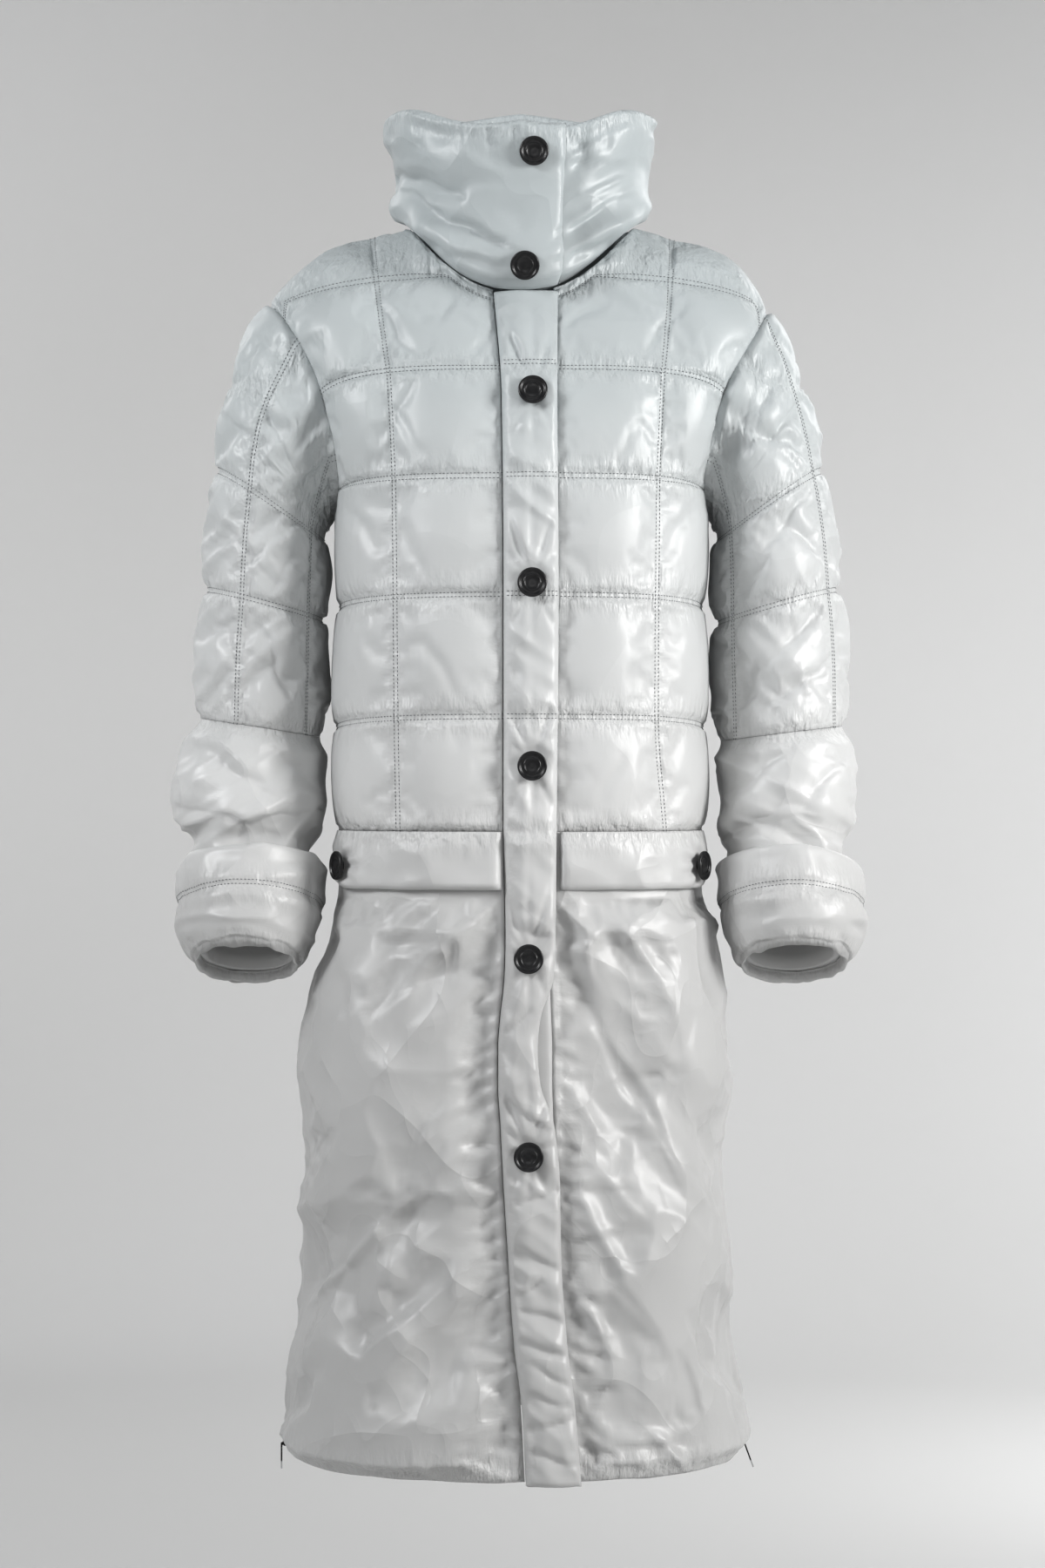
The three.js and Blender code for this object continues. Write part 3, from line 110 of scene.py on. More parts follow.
# Fly: placket seam, free edge, and the under-placket's seam, as x at each height
FLY = table(
    "z seam edge under",
    (-78, -27, 36, 31), (-183, -19, 35, 30), (-376, -17, 36, 31), (-600, -17, 34, 29),
    (-700, -15, 33, 28), (-738, -16, 31, 28), (-775, -20, 19, 29), (-805, -22, 16, 30),
    (-840, -22, 19, 30), (-873, -20, 31, 31), (-930, -17, 37, 31), (-995, -13, 38, 33),
    (-1083, -7, 44, 39), (-1140, 0, 51, 45), (-1212, 4, 57, 51),
)
PLACKET_ACROSS = table(
    "share crown under",
    (0, -7, -12), (0.06, -1.5, -5), (0.16, 1.5, -3.6), (0.45, 6, -3.6), (0.75, 6, -3.6), (0.92, 4, -3.6),
    (1, -1.2, -2.6),
)
FRONT_BUTTONS = table(
    "x z",
    (11.5, -183), (10.7, -365), (10.7, -538), (7.4, -720), (7.4, -905),
)
COLLAR_STAND = table(
    "up out",
    (0, 0), (0.08, 9), (0.2, 14), (0.38, 12), (0.6, 15), (0.85, 22), (1, 22),
)
COLLAR_HEIGHT = table(
    "turn height",
    (0, 161), (45, 138), (90, 103), (135, 108), (180, 118),
)
COLLAR = {"start": -9, "end": 379, "lap": 8.6, "lap_ease": 55, "thick": 16, "height": 120}
FLAP = {"drop": 55, "clear": 1.7, "inset": 15, "wide": 230}
FLAP_SWELL = table("down rise", (0, -2), (0.35, 2.5), (0.8, 3.5), (0.93, 3), (1, -1.5))

# Sleeve rings: outer and inner points in the front view, middle y, half depth, forward tilt
RING = "xo zo xi zi y depth tilt"
SLEEVE_UPPER = {
    "right": table(
        RING,
        (284, -130, 187, -297, -3, 94, 0), (300, -188, 188, -304, -5, 90, 0), (306, -243, 190, -314, -6, 87, 0),
        (313, -302, 191, -350, -7, 85, 0), (317, -362, 192, -392, -8, 83, 0), (322, -425, 193, -449, -9, 81, 0),
        (324, -489, 194, -509, -12, 80, 0),
    ),
    "left": table(
        RING,
        (274, -130, 188, -297, -3, 94, 0), (291, -188, 189, -304, -5, 90, 0), (303, -243, 190, -314, -6, 87, 0),
        (313, -302, 191, -350, -7, 85, 0), (319, -362, 191, -395, -8, 83, 0), (324, -425, 192, -455, -9, 81, 0),
        (325, -497, 193, -513, -12, 80, 0),
    ),
}
SLEEVE_LOWER = {
    "right": table(
        RING,
        (324, -489, 194, -509, -12, 80, 0), (339, -524, 194, -538, -19, 81, 2), (345, -560, 194, -570, -28, 81, 6),
        (341, -592, 195, -598, -37, 78, 11), (322, -622, 208, -622, -46, 65, 15), (321, -668, 211, -668, -60, 62, 18),
        (318, -720.8, 214, -720.8, -76.7, 59, 20),
    ),
    "left": table(
        RING,
        (325, -497, 193, -513, -12, 80, 0), (332, -529, 193, -540, -19, 81, 2), (332, -562, 193, -572, -28, 81, 6),
        (330, -594, 194, -600, -37, 78, 11), (316, -622, 206, -622, -46, 65, 15), (316, -668, 210, -668, -60, 62, 18),
        (316, -720.8, 212, -720.8, -76.7, 59, 20),
    ),
}
CUFF = {
    "right": table(
        RING,
        (335, -638, 193, -634, -48, 78, 19), (338, -652, 193, -650, -53, 80, 19), (338, -690, 197, -690, -66, 79, 20),
        (334, -716, 202, -718, -75, 76, 20), (324, -729, 210, -729, -79, 68, 20),
    ),
    "left": table(
        RING,
        (331, -638, 192, -636, -48, 78, 19), (334, -652, 192, -651, -53, 80, 19), (338, -690, 195, -690, -66, 79, 20),
        (335, -716, 200, -718, -75, 76, 20), (325, -729, 208, -729, -79, 68, 20),
    ),
}
SLEEVE_TURNS = 20                # turn counts round the sleeve forwards from its outer side
HALF_TURN = SLEEVE_TURNS / 2
SLEEVE_WALL = 11
SLEEVE_SINK = 6
CUFF_WALL = 9
SLEEVE_UPRIGHTS = {"right": [4, 8, 14, 19], "left": [2, 8, 13, 17]}
SLEEVE_FULL_ROWS = [3, 5, 7]
SLEEVE_CAP_LINE = 1.19

# Creases: a soft trough or ridge from (x0, z0) to (x1, z1) in the front view, mm
CREASE = "x0 z0 x1 z1 width rise"
COLLAR_CREASES = {
    "front": table(
        CREASE,
        (-127, 51, -106, 36, 4, -3), (-106, 36, -60, 13, 6, -4), (-112, 25, -77, -6, 5, -3.5), (-77, -6, -18, -35, 6, -4.5),
        (-103, -22, -70, -44, 5, -4), (-70, -44, -13, -57, 6, -4), (43, 43, 78, 48, 5, -3), (39, -25, 95, 15, 6, -4),
        (36, -48, 83, -30, 6, -4), (83, -30, 118, -18, 6, -3.5), (-32, 74, -27, 56, 3, -2), (-7, 74, -3, 59, 3, -2),
        (59, 67, 62, 51, 3, -2), (86, 74, 84, 57, 3, -1.5), (-99, 74, -94, 57, 3, -1.5),
    ),
    "back": table(
        CREASE,
        (-110, 40, -40, 60, 6, -3.5), (105, 30, 30, 48, 6, -3.5), (-90, 75, -20, 90, 6, -3), (60, 85, 10, 78, 5, -3),
        (-30, 125, -26, 105, 4, -2), (40, 125, 44, 104, 4, -2), (-100, 95, -96, 80, 4, -2),
    ),
}
BODY_CREASES = {
    "front": table(
        CREASE,
        (-25, -118, -48, -142, 5, -3), (-31, -119, -81, -97, 6, -2.5), (43, -109, 84, -85, 6, -2.5),
        (-64, -75, -77, -109, 5, -2), (-139, -85, -106, -142, 6, -2.5), (158, -85, 121, -138, 6, -2.5),
        (-120, -200, -95, -240, 6, -2), (110, -215, 90, -250, 6, -2), (-165, -290, -140, -330, 7, -2.5),
        (165, -290, 140, -335, 7, -2.5), (-90, -420, -60, -470, 6, -2), (95, -530, 70, -580, 6, -2),
    ),
    "back": table(
        CREASE,
        (-150, -95, -105, -140, 7, -2.5), (150, -95, 110, -140, 7, -2.5), (-165, -280, -130, -330, 7, -2.5),
        (165, -280, 135, -335, 7, -2.5), (-60, -420, -20, -460, 7, -2), (80, -420, 40, -470, 7, -2),
        (-90, -530, -60, -580, 7, -2), (60, -190, 30, -240, 7, -2),
    ),
}
SKIRT_CREASES = {
    "front": table(
        CREASE,
        (-40, -745, -170, -876, 22, 5), (-19, -703, -138, -772, 16, -5), (-179, -998, -158, -1047, 12, -5),
        (-158, -1047, -138, -1129, 12, -4), (-207, -1121, -191, -1170, 7, -3), (40, -705, 132, -898, 16, -4.5),
        (57, -780, 126, -885, 12, 3.5), (178, -948, 166, -1178, 12, -4.5), (34, -957, 84, -1006, 12, -2.5),
        (-80, -842, -113, -981, 20, -3), (-31, -1006, -80, -1129, 18, 3), (84, -1047, 75, -1170, 14, -3),
        (133, -981, 141, -1129, 14, 2.5), (-190, -700, -150, -800, 14, -2.5), (175, -720, 150, -830, 12, -2.5),
    ),
    "back": table(
        CREASE,
        (120, -680, 30, -860, 20, -5), (-130, -690, -60, -900, 18, -5), (-20, -900, -60, -1150, 26, 5),
        (150, -960, 120, -1160, 18, -5), (-160, -930, -150, -1150, 14, -4), (60, -900, 90, -1100, 18, 3),
        (-100, -950, -110, -1120, 16, 3), (190, -700, 160, -840, 12, -3), (10, -640, -20, -760, 14, -3),
        (20, -1060, 25, -1190, 12, -3),
    ),
}
SLEEVE_CREASES = {
    "left": table(
        CREASE,
        (260, -157, 229, -191, 8, -4), (277, -178, 239, -233, 8, -4), (290, -233, 230, -216, 7, -3.5),
        (222, -191, 201, -250, 8, -3.5), (285, -267, 247, -318, 8, -4), (302, -335, 256, -301, 7, -3.5),
        (239, -335, 213, -377, 8, -3.5), (294, -386, 243, -436, 8, -3.5), (307, -436, 256, -470, 7, -3),
        (230, -445, 209, -487, 7, -3), (260, -521, 209, -559, 9, -3.5), (311, -538, 256, -589, 9, -4),
        (239, -589, 196, -610, 8, -4),
    ),
    "right": table(
        CREASE,
        (-252, -123, -214, -157, 8, -3.5), (-265, -165, -235, -216, 8, -4), (-285, -199, -252, -233, 7, -3.5),
        (-235, -301, -261, -343, 8, -3.5), (-295, -301, -261, -335, 8, -3.5), (-214, -318, -235, -360, 7, -3),
        (-299, -403, -261, -386, 8, -3.5), (-252, -403, -227, -462, 8, -3.5), (-303, -462, -274, -436, 7, -3),
        (-307, -521, -252, -555, 9, -4), (-316, -580, -252, -597, 8, -4.5), (-252, -593, -197, -580, 8, -4),
        (-235, -521, -202, -555, 8, -3),
    ),
}


# Small mathematics
def along(rows, key, column, at):
    """Value of a column where the key column has the given value, on a smooth curve through the rows."""
    x, y = rows[key], rows[column]
    if x[0] > x[-1]:
        x, y = x[::-1], y[::-1]
    at = np.clip(np.asarray(at, float), x[0], x[-1])
    slope = np.diff(y) / np.diff(x)
    before, after = slope[:-1], slope[1:]
    turning = before * after <= 0
    inner = np.where(turning, 0, 2 * before * after / np.where(turning, 1, before + after))
    tangent = np.concatenate([slope[:1], inner, slope[-1:]])
    i = np.clip(np.searchsorted(x, at, side="right") - 1, 0, len(x) - 2)
    span = x[i + 1] - x[i]
    t = (at - x[i]) / span
    start = (2 * t**3 - 3 * t**2 + 1) * y[i] + (t**3 - 2 * t**2 + t) * span * tangent[i]
    return start + (3 * t**2 - 2 * t**3) * y[i + 1] + (t**3 - t**2) * span * tangent[i + 1]


def mix(a, b, t):
    return a + (b - a) * t


def ease(t):
    t = np.clip(t, 0, 1)
    return t * t * (3 - 2 * t)


def signed_power(value, power):
    return np.sign(value) * np.abs(value) ** power


def bell(distance, reach):
    """1 at distance 0, falling smoothly away over the reach."""
    return np.exp(-((distance / reach) ** 2))


def rounded_edge(distance, reach):
    """From 0 at an edge up to 1 at the reach, along a quarter of a circle."""
    return np.sqrt(np.clip(1 - np.clip(1 - distance / reach, 0, 1) ** 2, 0, 1))


def quilt_crown(t, flat=0.0):
    """Height of a quilt from 0 at its lines to 1 in its middle; flat is the stitched strip's share on each side."""
    share = np.clip((t - np.floor(t) - flat) / (1 - 2 * flat), 0, 1)
    return np.sqrt(np.sin(np.pi * share) + 1e-12)


def points(x, y, z):
    return np.stack(np.broadcast_arrays(x, y, z), axis=-1).astype(float)


def unit(vectors):
    return vectors / np.maximum(np.linalg.norm(vectors, axis=-1, keepdims=True), 1e-12)


def noise(at, scale, seed=0):
    """Smooth noise from -1 to 1 at points given in mm; scale is the size of a bump on each axis."""
    place = np.asarray(at, float) / scale + seed * 17.3
    cell = np.floor(place)
    share = place - cell
    share = share * share * (3 - 2 * share)
    total = np.zeros(place.shape[:-1])
    for corner in np.ndindex(2, 2, 2):
        corner = np.array(corner)
        lattice = (cell + corner) @ np.array([12.9898, 78.233, 37.719])
        value = np.sin(lattice + seed) * 43758.5453
        weight = np.prod(np.where(corner == 1, share, 1 - share), axis=-1)
        total += weight * (2 * (value - np.floor(value)) - 1)
    return total


def ridges(at, scale, seed=0):
    """Sharp folds from about -1 to 1 with soft hollows between them."""
    return 1 - 2.6 * np.abs(noise(at, scale, seed))


# The worn body's form
def body_depth(side, face, out, z):
    half = along(BODY, "z", side, z)
    crown = along(BODY, "z", face, z)
    section = (1 - np.minimum(np.abs(out) / half, 1) ** SECTION_POWER) ** (1 / SECTION_POWER)
    under = np.clip((along(RIDGE, "x", side, np.abs(out)) - z) / RIDGE_ROUND, 0, 1)
    return crown * section * np.sqrt(1 - (1 - under) ** 2)


def body_point(side, face, out, z):
    depth = body_depth(side, face, out, z)
    return points(SIGN[side] * out, -depth if face == "front" else depth, z)


def neck_height(face, out):
    share = np.minimum(np.abs(out) / NECK_HALF, 1)
    return NECK_FRONT_Z * (1 - share**2.2) if face == "front" else NECK_BACK_Z * (1 - share**2)


def top_height(side, face, out):
    return np.where(np.abs(out) < NECK_HALF, neck_height(face, out), along(RIDGE, "x", side, out))


def section_angle(side, out, z):
    half = along(BODY, "z", side, z)
    return np.arcsin(signed_power(np.clip(out / half, -1, 1), SECTION_POWER / 2))


def out_at_angle(side, angle, z):
    return along(BODY, "z", side, z) * signed_power(np.sin(angle), 2 / SECTION_POWER)


def inner_edge(side, face, z):
    if face == "back":
        return np.zeros_like(np.asarray(z, float))
    return -along(FLY, "z", "seam", z) if side == "right" else along(FLY, "z", "under", z)


def out_on_row(side, face, across, z):
    start = section_angle(side, inner_edge(side, face, z), z)
    upright = section_angle(side, along(UPRIGHT, "z", side, z), z)
    edge = np.where(z > UNDERARM_Z, along(ARMHOLE, "z", side, z), along(BODY, "z", side, z))
    stop = section_angle(side, edge, z)
    angle = np.where(across < 1, mix(start, upright, across), mix(upright, stop, across - 1))
    return out_at_angle(side, angle, z)


def row_height(row, across):
    return QUILT_Z[row] - QUILT_DROOP[row] * (across / 2) ** 3


def quilted_point(side, face, across, down):
    """Crown of a quilted panel: across 0 to 2 from its inner edge, down 0 to 6 counts the level lines."""
    row = np.clip(np.floor(down).astype(int), 2, len(QUILT_Z) - 1)
    crowd = np.where(row == UNDERARM_ROW, 1 + UNDERARM_CROWD * (across / 2) ** 4, 1)
    z = mix(row_height(row - 1, across), row_height(row, across), np.clip(down - row, 0, 1) ** crowd)
    low = body_point(side, face, out_on_row(side, face, across, z), z)
    tip = TIP_X[side]
    upright_top = UPRIGHT[side][0]
    inner_top = inner_edge(side, face, NECK_FRONT_Z)
    out_top = np.where(across < 1, mix(inner_top, upright_top, across), mix(upright_top, tip, across - 1))
    z_top = top_height(side, face, out_top)
    z_second = row_height(1, across)
    out_second = out_on_row(side, face, across, z_second)
    z_first = np.minimum(row_height(0, across), z_top - TOP_ROW["middle"] - TOP_ROW["side"] * (across / 2) ** 4)
    z = np.where(down < 1, mix(z_top, z_first, down**2), mix(z_first, z_second, down - 1))
    share = (z_top - z) / (z_top - z_second)
    below_tip = np.minimum(z, along(RIDGE, "x", side, tip))
    bow = along(ARMHOLE, "z", side, below_tip) - mix(tip, along(ARMHOLE, "z", side, row_height(1, 2)), share)
    out = mix(out_top, out_second, share) + np.where(across > 1, bow * (across - 1) ** 2, 0)
    high = body_point(side, face, out, z)
    return np.where((down >= 2)[..., None], low, high)


def grid_normals(grid, inside, closed=False):
    """Unit normals of a grid of points, facing away from the points given as inside."""
    if closed:
        padded = np.concatenate([grid[:, -1:], grid, grid[:, :1]], axis=1)
        du = np.gradient(padded, axis=1)[:, 1:-1]
    else:
        du = np.gradient(grid, axis=1)
    dv = np.gradient(grid, axis=0)
    normal = unit(np.cross(du, dv))
    away = np.sum(normal * (grid - inside), axis=-1, keepdims=True)
    return np.where(away < 0, -normal, normal)


def crease_rise(creases, grid, sharp=False):
    """Sum of the creases' heights at each point, by its distance from them in the front view."""
    x, z = grid[..., 0], grid[..., 2]
    total = np.zeros(x.shape)
    for x0, z0, x1, z1, width, rise in zip(*(creases[name] for name in CREASE.split())):
        dx, dz = x1 - x0, z1 - z0
        t = np.clip(((x - x0) * dx + (z - z0) * dz) / (dx * dx + dz * dz), 0, 1)
        sway = 0.25 * width * np.sin(7 * t + x0)
        size = math.hypot(dx, dz)
        away = np.hypot(x - x0 - t * dx + sway * dz / size, z - z0 - t * dz - sway * dx / size)
        steep = np.where((x - x0) * dz > (z - z0) * dx, 1.6, 0.6) * width
        fall = np.exp(0.2 - np.sqrt((away / steep) ** 2 + 0.04)) if sharp else bell(away, width)
        total += rise * fall * (0.55 + 0.45 * np.sin(np.pi * t))
    return total


# Making meshes
def new_object(name, mesh):
    made = bpy.data.objects.new(name, mesh)
    bpy.context.scene.collection.objects.link(made)
    return made


def read_values(items, key, size, kind=float):
    values = np.zeros(len(items) * size, kind)
    items.foreach_get(key, values)
    return values.reshape(-1, size)


def mesh_object(name, vertices, faces, attributes=None):
    """A piece from vertices in mm and faces, smooth shaded, with its faces outwards."""
    mesh = bpy.data.meshes.new(name)
    mesh.from_pydata((np.asarray(vertices) * MM).tolist(), [], faces)
    mesh.update()
    mesh.shade_smooth()
    corner = np.array([mesh.vertices[f[0]].co for f in faces])
    area = read_values(mesh.polygons, "area", 1)
    if np.sum(np.sum(corner * read_values(mesh.polygons, "normal", 3), axis=1) * area[:, 0]) < 0:
        mesh.flip_normals()
    for key, values in (attributes or {}).items():
        layer = mesh.attributes.new(key, "FLOAT", "POINT")
        layer.data.foreach_set("value", np.asarray(values, np.float32))
    return new_object(name, mesh)


def shell(name, outer, inner, closed=False, gather=None, cross=None, crumple=0.0):
    """One closed padded wall between a fine outer grid and a coarse inner grid."""
    rows, columns = outer.shape[:2]
    behind = rows * columns
    in_rows, in_columns = inner.shape[:2]
    wrap = columns if closed else columns - 1
    faces = []
    for r in range(rows - 1):
        a = r * columns
        for c in range(wrap):
            b = (c + 1) % columns
            faces.append((a + c, a + columns + c, a + columns + b, a + b))
    in_wrap = in_columns if closed else in_columns - 1
    for r in range(in_rows - 1):
        a = behind + r * in_columns
        for c in range(in_wrap):
            b = (c + 1) % in_columns
            faces.append((a + c, a + b, a + in_columns + b, a + in_columns + c))
    for c in range(in_wrap):
        b = (c + 1) % in_columns
        top = [(COARSE * c + k) % columns for k in range(COARSE + 1)]
        faces.append((*top, behind + b, behind + c))
        low = [(rows - 1) * columns + k for k in top]
        in_low = behind + (in_rows - 1) * in_columns
        faces.append((*reversed(low), in_low + c, in_low + b))
    for r in range(0 if closed else in_rows - 1):
        first = [(COARSE * r + k) * columns for k in range(COARSE + 1)]
        faces.append((*reversed(first), behind + r * in_columns, behind + (r + 1) * in_columns))
        last = [k + columns - 1 for k in first]
        start = behind + in_columns - 1
        faces.append((*last, start + (r + 1) * in_columns, start + r * in_columns))
    vertices = np.concatenate([outer.reshape(-1, 3), inner.reshape(-1, 3)])
    attributes = {"crumple": np.full(len(vertices), crumple)}
    for key, given in (("gather", gather), ("cross_gather", cross)):
        attributes[key] = np.zeros(len(vertices))
        if given is not None:
            attributes[key][:behind] = given.reshape(-1)
    return mesh_object(name, vertices, faces, attributes)


# Quilted panels: points across and down, closer together in the low first row of quilts
FLAT_ROW = 0.026             # half of a stitched strip, as a share of one quilt
FLAT_FIRST = 0.085
FLAT_COLUMN = 0.02


def spaced(start, flat, count):
    """Points over one quilt, with one at each edge of its stitched strips."""
    return start + np.concatenate([[0], np.linspace(flat, 1 - flat, count - 2), [1]])


INNER_POINTS = 43            # points from a panel's inner edge to its upright line
ACROSS = np.concatenate([spaced(0, FLAT_COLUMN, INNER_POINTS), spaced(1, FLAT_COLUMN, 55)[1:]])
DOWN = np.concatenate([spaced(0, FLAT_FIRST, 13)] + [spaced(k, FLAT_ROW, 31)[1:] for k in range(1, 6)])
FIRST_ROW_HEIGHT = 30        # mm, of the row of quilts under the shoulder seam
RIDGE_REACH = 0.3            # share of the first quilt that sinks straight down from the shoulder seam
RIDGE_BLEND = 30             # mm beside the neck where that begins


def seam_clamp(grid, face):
    if face == "front":
        grid[..., 1] = np.minimum(grid[..., 1], -GAP / 2)
    else:
        grid[..., 1] = np.maximum(grid[..., 1], GAP / 2)
    return grid


def quilted_half(side, face, rows, columns, sink_at):
    """Grid of a front or half back, sunk below its crown, with its edges on their own side of the seams."""
    across, down = np.meshgrid(columns, rows)
    crown = quilted_point(side, face, across, down)
    inside = points(SIGN[side] * 60, 0, crown[..., 2] - 60)
    normal = grid_normals(crown, inside)
    ridge = unit(np.gradient(crown[0], axis=0)[:, ::-1] * (-1, 0, 1))
    upward = ridge * np.sign(ridge[:, 2:])
    near_ridge = (1 - ease(down / RIDGE_REACH)) * ease((np.abs(crown[..., 0]) - NECK_HALF) / RIDGE_BLEND)
    normal = unit(mix(normal, upward, near_ridge[..., None]))
    grid = crown - normal * sink_at(across, down, crown)[..., None]
    if face == "front":
        grid[:, 0, 0] = SIGN[side] * (inner_edge(side, face, grid[:, 0, 2]) + GAP / 2)
    else:
        grid[:, 0, 0] = 0
    grid[-1, :, 2] = BAND_Z + GAP / 2
    return seam_clamp(grid, face)


def puckers(crown, near, reach, size, seed):
    """Short gathers square to a stitched line: near is the distance from it in mm."""
    wave = noise(crown, (size, size, 4 * size), seed)
    long = 0.6 + 0.4 * noise(crown, (2.5 * size, 2.5 * size, 60), seed + 5)
    return wave * bell(near, reach * long) * (1 - bell(near, 2.2))


def line_distance(down, heights):
    """Distance in mm from the nearest level line, where heights is the size of each row of quilts."""
    share = down - np.floor(down)
    return np.minimum(share, 1 - share) * heights


def quilt_relief(face):
    def sink_at(across, down, crown):
        columns = quilt_crown(across, FLAT_COLUMN)
        rows = quilt_crown(down, np.where(down < 1, FLAT_FIRST, FLAT_ROW))
        neck = (1 - ease(down / 0.3)) * (1 - ease((across - 1.3) / 0.5))
        sink = STITCH_SINK * (1 - columns * rows) * (1 - 0.6 * neck)
        near = line_distance(down, np.where(down < 1, FIRST_ROW_HEIGHT, ROW_HEIGHT))
        edge = np.minimum(columns, rows)
        gathers = 1.3 * puckers(crown, near, 15, 7, 1)
        gathers = gathers + 0.5 * puckers(crown, line_distance(across, COLUMN_WIDTH), 12, 8, 2)
        slack = 0.7 * noise(crown, (60, 60, 44), 3) + 0.25 * noise(crown, (22, 22, 16), 4)
        rise = crease_rise(BODY_CREASES[face], crown)
        return sink - (gathers + slack + rise) * np.minimum(edge * 1.4, 1) * (columns * rows > 0.01)
    return sink_at


def plain(depth):
    return lambda first, *others: np.full(first.shape, float(depth))


def near_line(share, size, reach):
    return bell(line_distance(share, size), reach)


# Cloth simulation of the quilts: air inside, held along the stitched lines
PUFF_FRAMES = 16
PUFF_STRIDE = 2
BODY_PUFF = {"pressure": 2.0, "slack": -0.018, "cap": 3.0, "bending": 1.0}
SLEEVE_PUFF = {"pressure": 3.0, "slack": -0.045, "cap": 4.5, "bending": 0.6}
SKIRT_PUFF = {"pressure": 0.2, "slack": -0.04, "cap": 7.0, "bending": 0.3}


CLOTH_SETTINGS = {
    "quality": 4, "mass": 0.2, "tension_stiffness": 20, "compression_stiffness": 20, "shear_stiffness": 8,
    "vertex_group_mass": "stitched", "use_pressure": True,
}
ISLAND_SPAN = 0.3            # m: a wider island goes round the coat's middle, a narrower one is a sleeve


def puff(grids, air):
    """Moves the outer grids as cloth filled with air. Each entry is (grid, held, closed) and comes back moved."""
    step = PUFF_STRIDE
    vertices, faces, held_at, places = [], [], [], []
    count = 0
    for grid, held, closed in grids:
        thin = grid[::step, ::step]
        rows, columns = thin.shape[:2]
        index = count + np.arange(rows * columns).reshape(rows, columns)
        right = np.roll(index, -1, axis=1) if closed else index[:, 1:]
        left = index if closed else index[:, :-1]
        quads = np.stack([left[:-1], left[1:], right[1:], right[:-1]], axis=-1).reshape(-1, 4)
        vertices.append(thin.reshape(-1, 3))
        faces.append(quads)
        held_at.append(index[held[::step, ::step]])
        places.append((index, thin))
        count += rows * columns
    mesh = bpy.data.meshes.new("quilt cloth")
    mesh.from_pydata((np.concatenate(vertices) * MM).tolist(), [], np.concatenate(faces).tolist())
    cloth = new_object("quilt cloth", mesh)
    orient_islands(mesh, places)
    pins = cloth.vertex_groups.new(name="stitched")
    pins.add(np.concatenate(held_at).tolist(), 1.0, "REPLACE")
    modifier = cloth.modifiers.new("Cloth", "CLOTH")
    settings = modifier.settings
    for key, value in {**CLOTH_SETTINGS, "bending_stiffness": air["bending"], "shrink_min": air["slack"],
                       "uniform_pressure_force": air["pressure"]}.items():
        setattr(settings, key, value)
    settings.effector_weights.gravity = 0
    modifier.collision_settings.use_collision = False
    modifier.collision_settings.use_self_collision = False
    modifier.point_cache.frame_start = 1
    modifier.point_cache.frame_end = PUFF_FRAMES
    scene = bpy.context.scene
    for number in range(1, PUFF_FRAMES + 1):
        scene.frame_set(number)
    moved = cloth.evaluated_get(bpy.context.evaluated_depsgraph_get()).data
    after = read_values(moved.vertices, "co", 3) / MM
    scene.frame_set(1)
    bpy.data.objects.remove(cloth)
    results = []
    for (grid, held, closed), (index, thin) in zip(grids, places):
        shift = after[index] - thin
        length = np.maximum(np.linalg.norm(shift, axis=-1, keepdims=True), 1e-9)
        shift = shift * air["cap"] * np.tanh(length / air["cap"]) / length
        shift[held[::step, ::step]] = 0
        full = finer(shift, grid.shape[:2], step, closed)
        full[held] = 0
        results.append(grid + full)
    return results


def orient_islands(mesh, places):
    """Turns the faces of each island so that the air pushes them out, away from the coat's inside."""
    normals = read_values(mesh.polygons, "normal", 3)
    centres = read_values(mesh.polygons, "center", 3)
    island = np.zeros(len(mesh.vertices), int)
    for number, (index, thin) in enumerate(places):
        island[index.reshape(-1)] = number
    corners = read_values(mesh.loops, "vertex_index", 1, int)[:, 0]
    owner = island[corners[read_values(mesh.polygons, "loop_start", 1, int)[:, 0]]]
    flip = np.zeros(len(mesh.polygons), bool)
    for number in range(len(places)):
        mine = owner == number
        middle = centres[mine].mean(axis=0)
        if np.ptp(centres[mine][:, 0]) >= ISLAND_SPAN:
            middle[:2] = 0
        away = np.sum(normals[mine] * (centres[mine] - middle) * (1, 1, 0), axis=1).sum()
        flip[mine] = away < 0
    if flip.any():
        turned = [tuple(p.vertices)[::-1] if flip[p.index] else tuple(p.vertices) for p in mesh.polygons]
        place = [v.co.copy() for v in mesh.vertices]
        mesh.clear_geometry()
        mesh.from_pydata(place, [], turned)


def finer(shift, shape, step, closed):
    """Spreads the moves of every second point over the whole grid, in straight steps between them."""
    rows, columns = shape
    at_rows = np.arange(rows) / step
    at_columns = np.arange(columns) / step
    if closed:
        shift = np.concatenate([shift, shift[:, :1]], axis=1)

    def spread(values, at, axis):
        last = values.shape[axis] - 1
        i = np.clip(np.floor(at).astype(int), 0, last)
        j = np.clip(i + 1, 0, last)
        t = at - i
        t = t.reshape([-1 if k == axis else 1 for k in range(values.ndim)])
        return np.take(values, i, axis) * (1 - t) + np.take(values, j, axis) * t

    return spread(spread(shift, at_rows, 0), at_columns, 1)


def join_halves(right, left):
    """The back is one piece: the right half mirrored in order, then the left half without the shared middle."""
    return np.concatenate([right[:, ::-1], left[:, 1:]], axis=1)


def panel_grids():
    made = {}
    for face in ("front", "back"):
        for side in SIDES:
            made[face, side] = quilted_half(side, face, DOWN, ACROSS, quilt_relief(face))
            made[face, side, "inner"] = quilted_half(side, face, DOWN[::COARSE], ACROSS[::COARSE], plain(WALL))
    return made


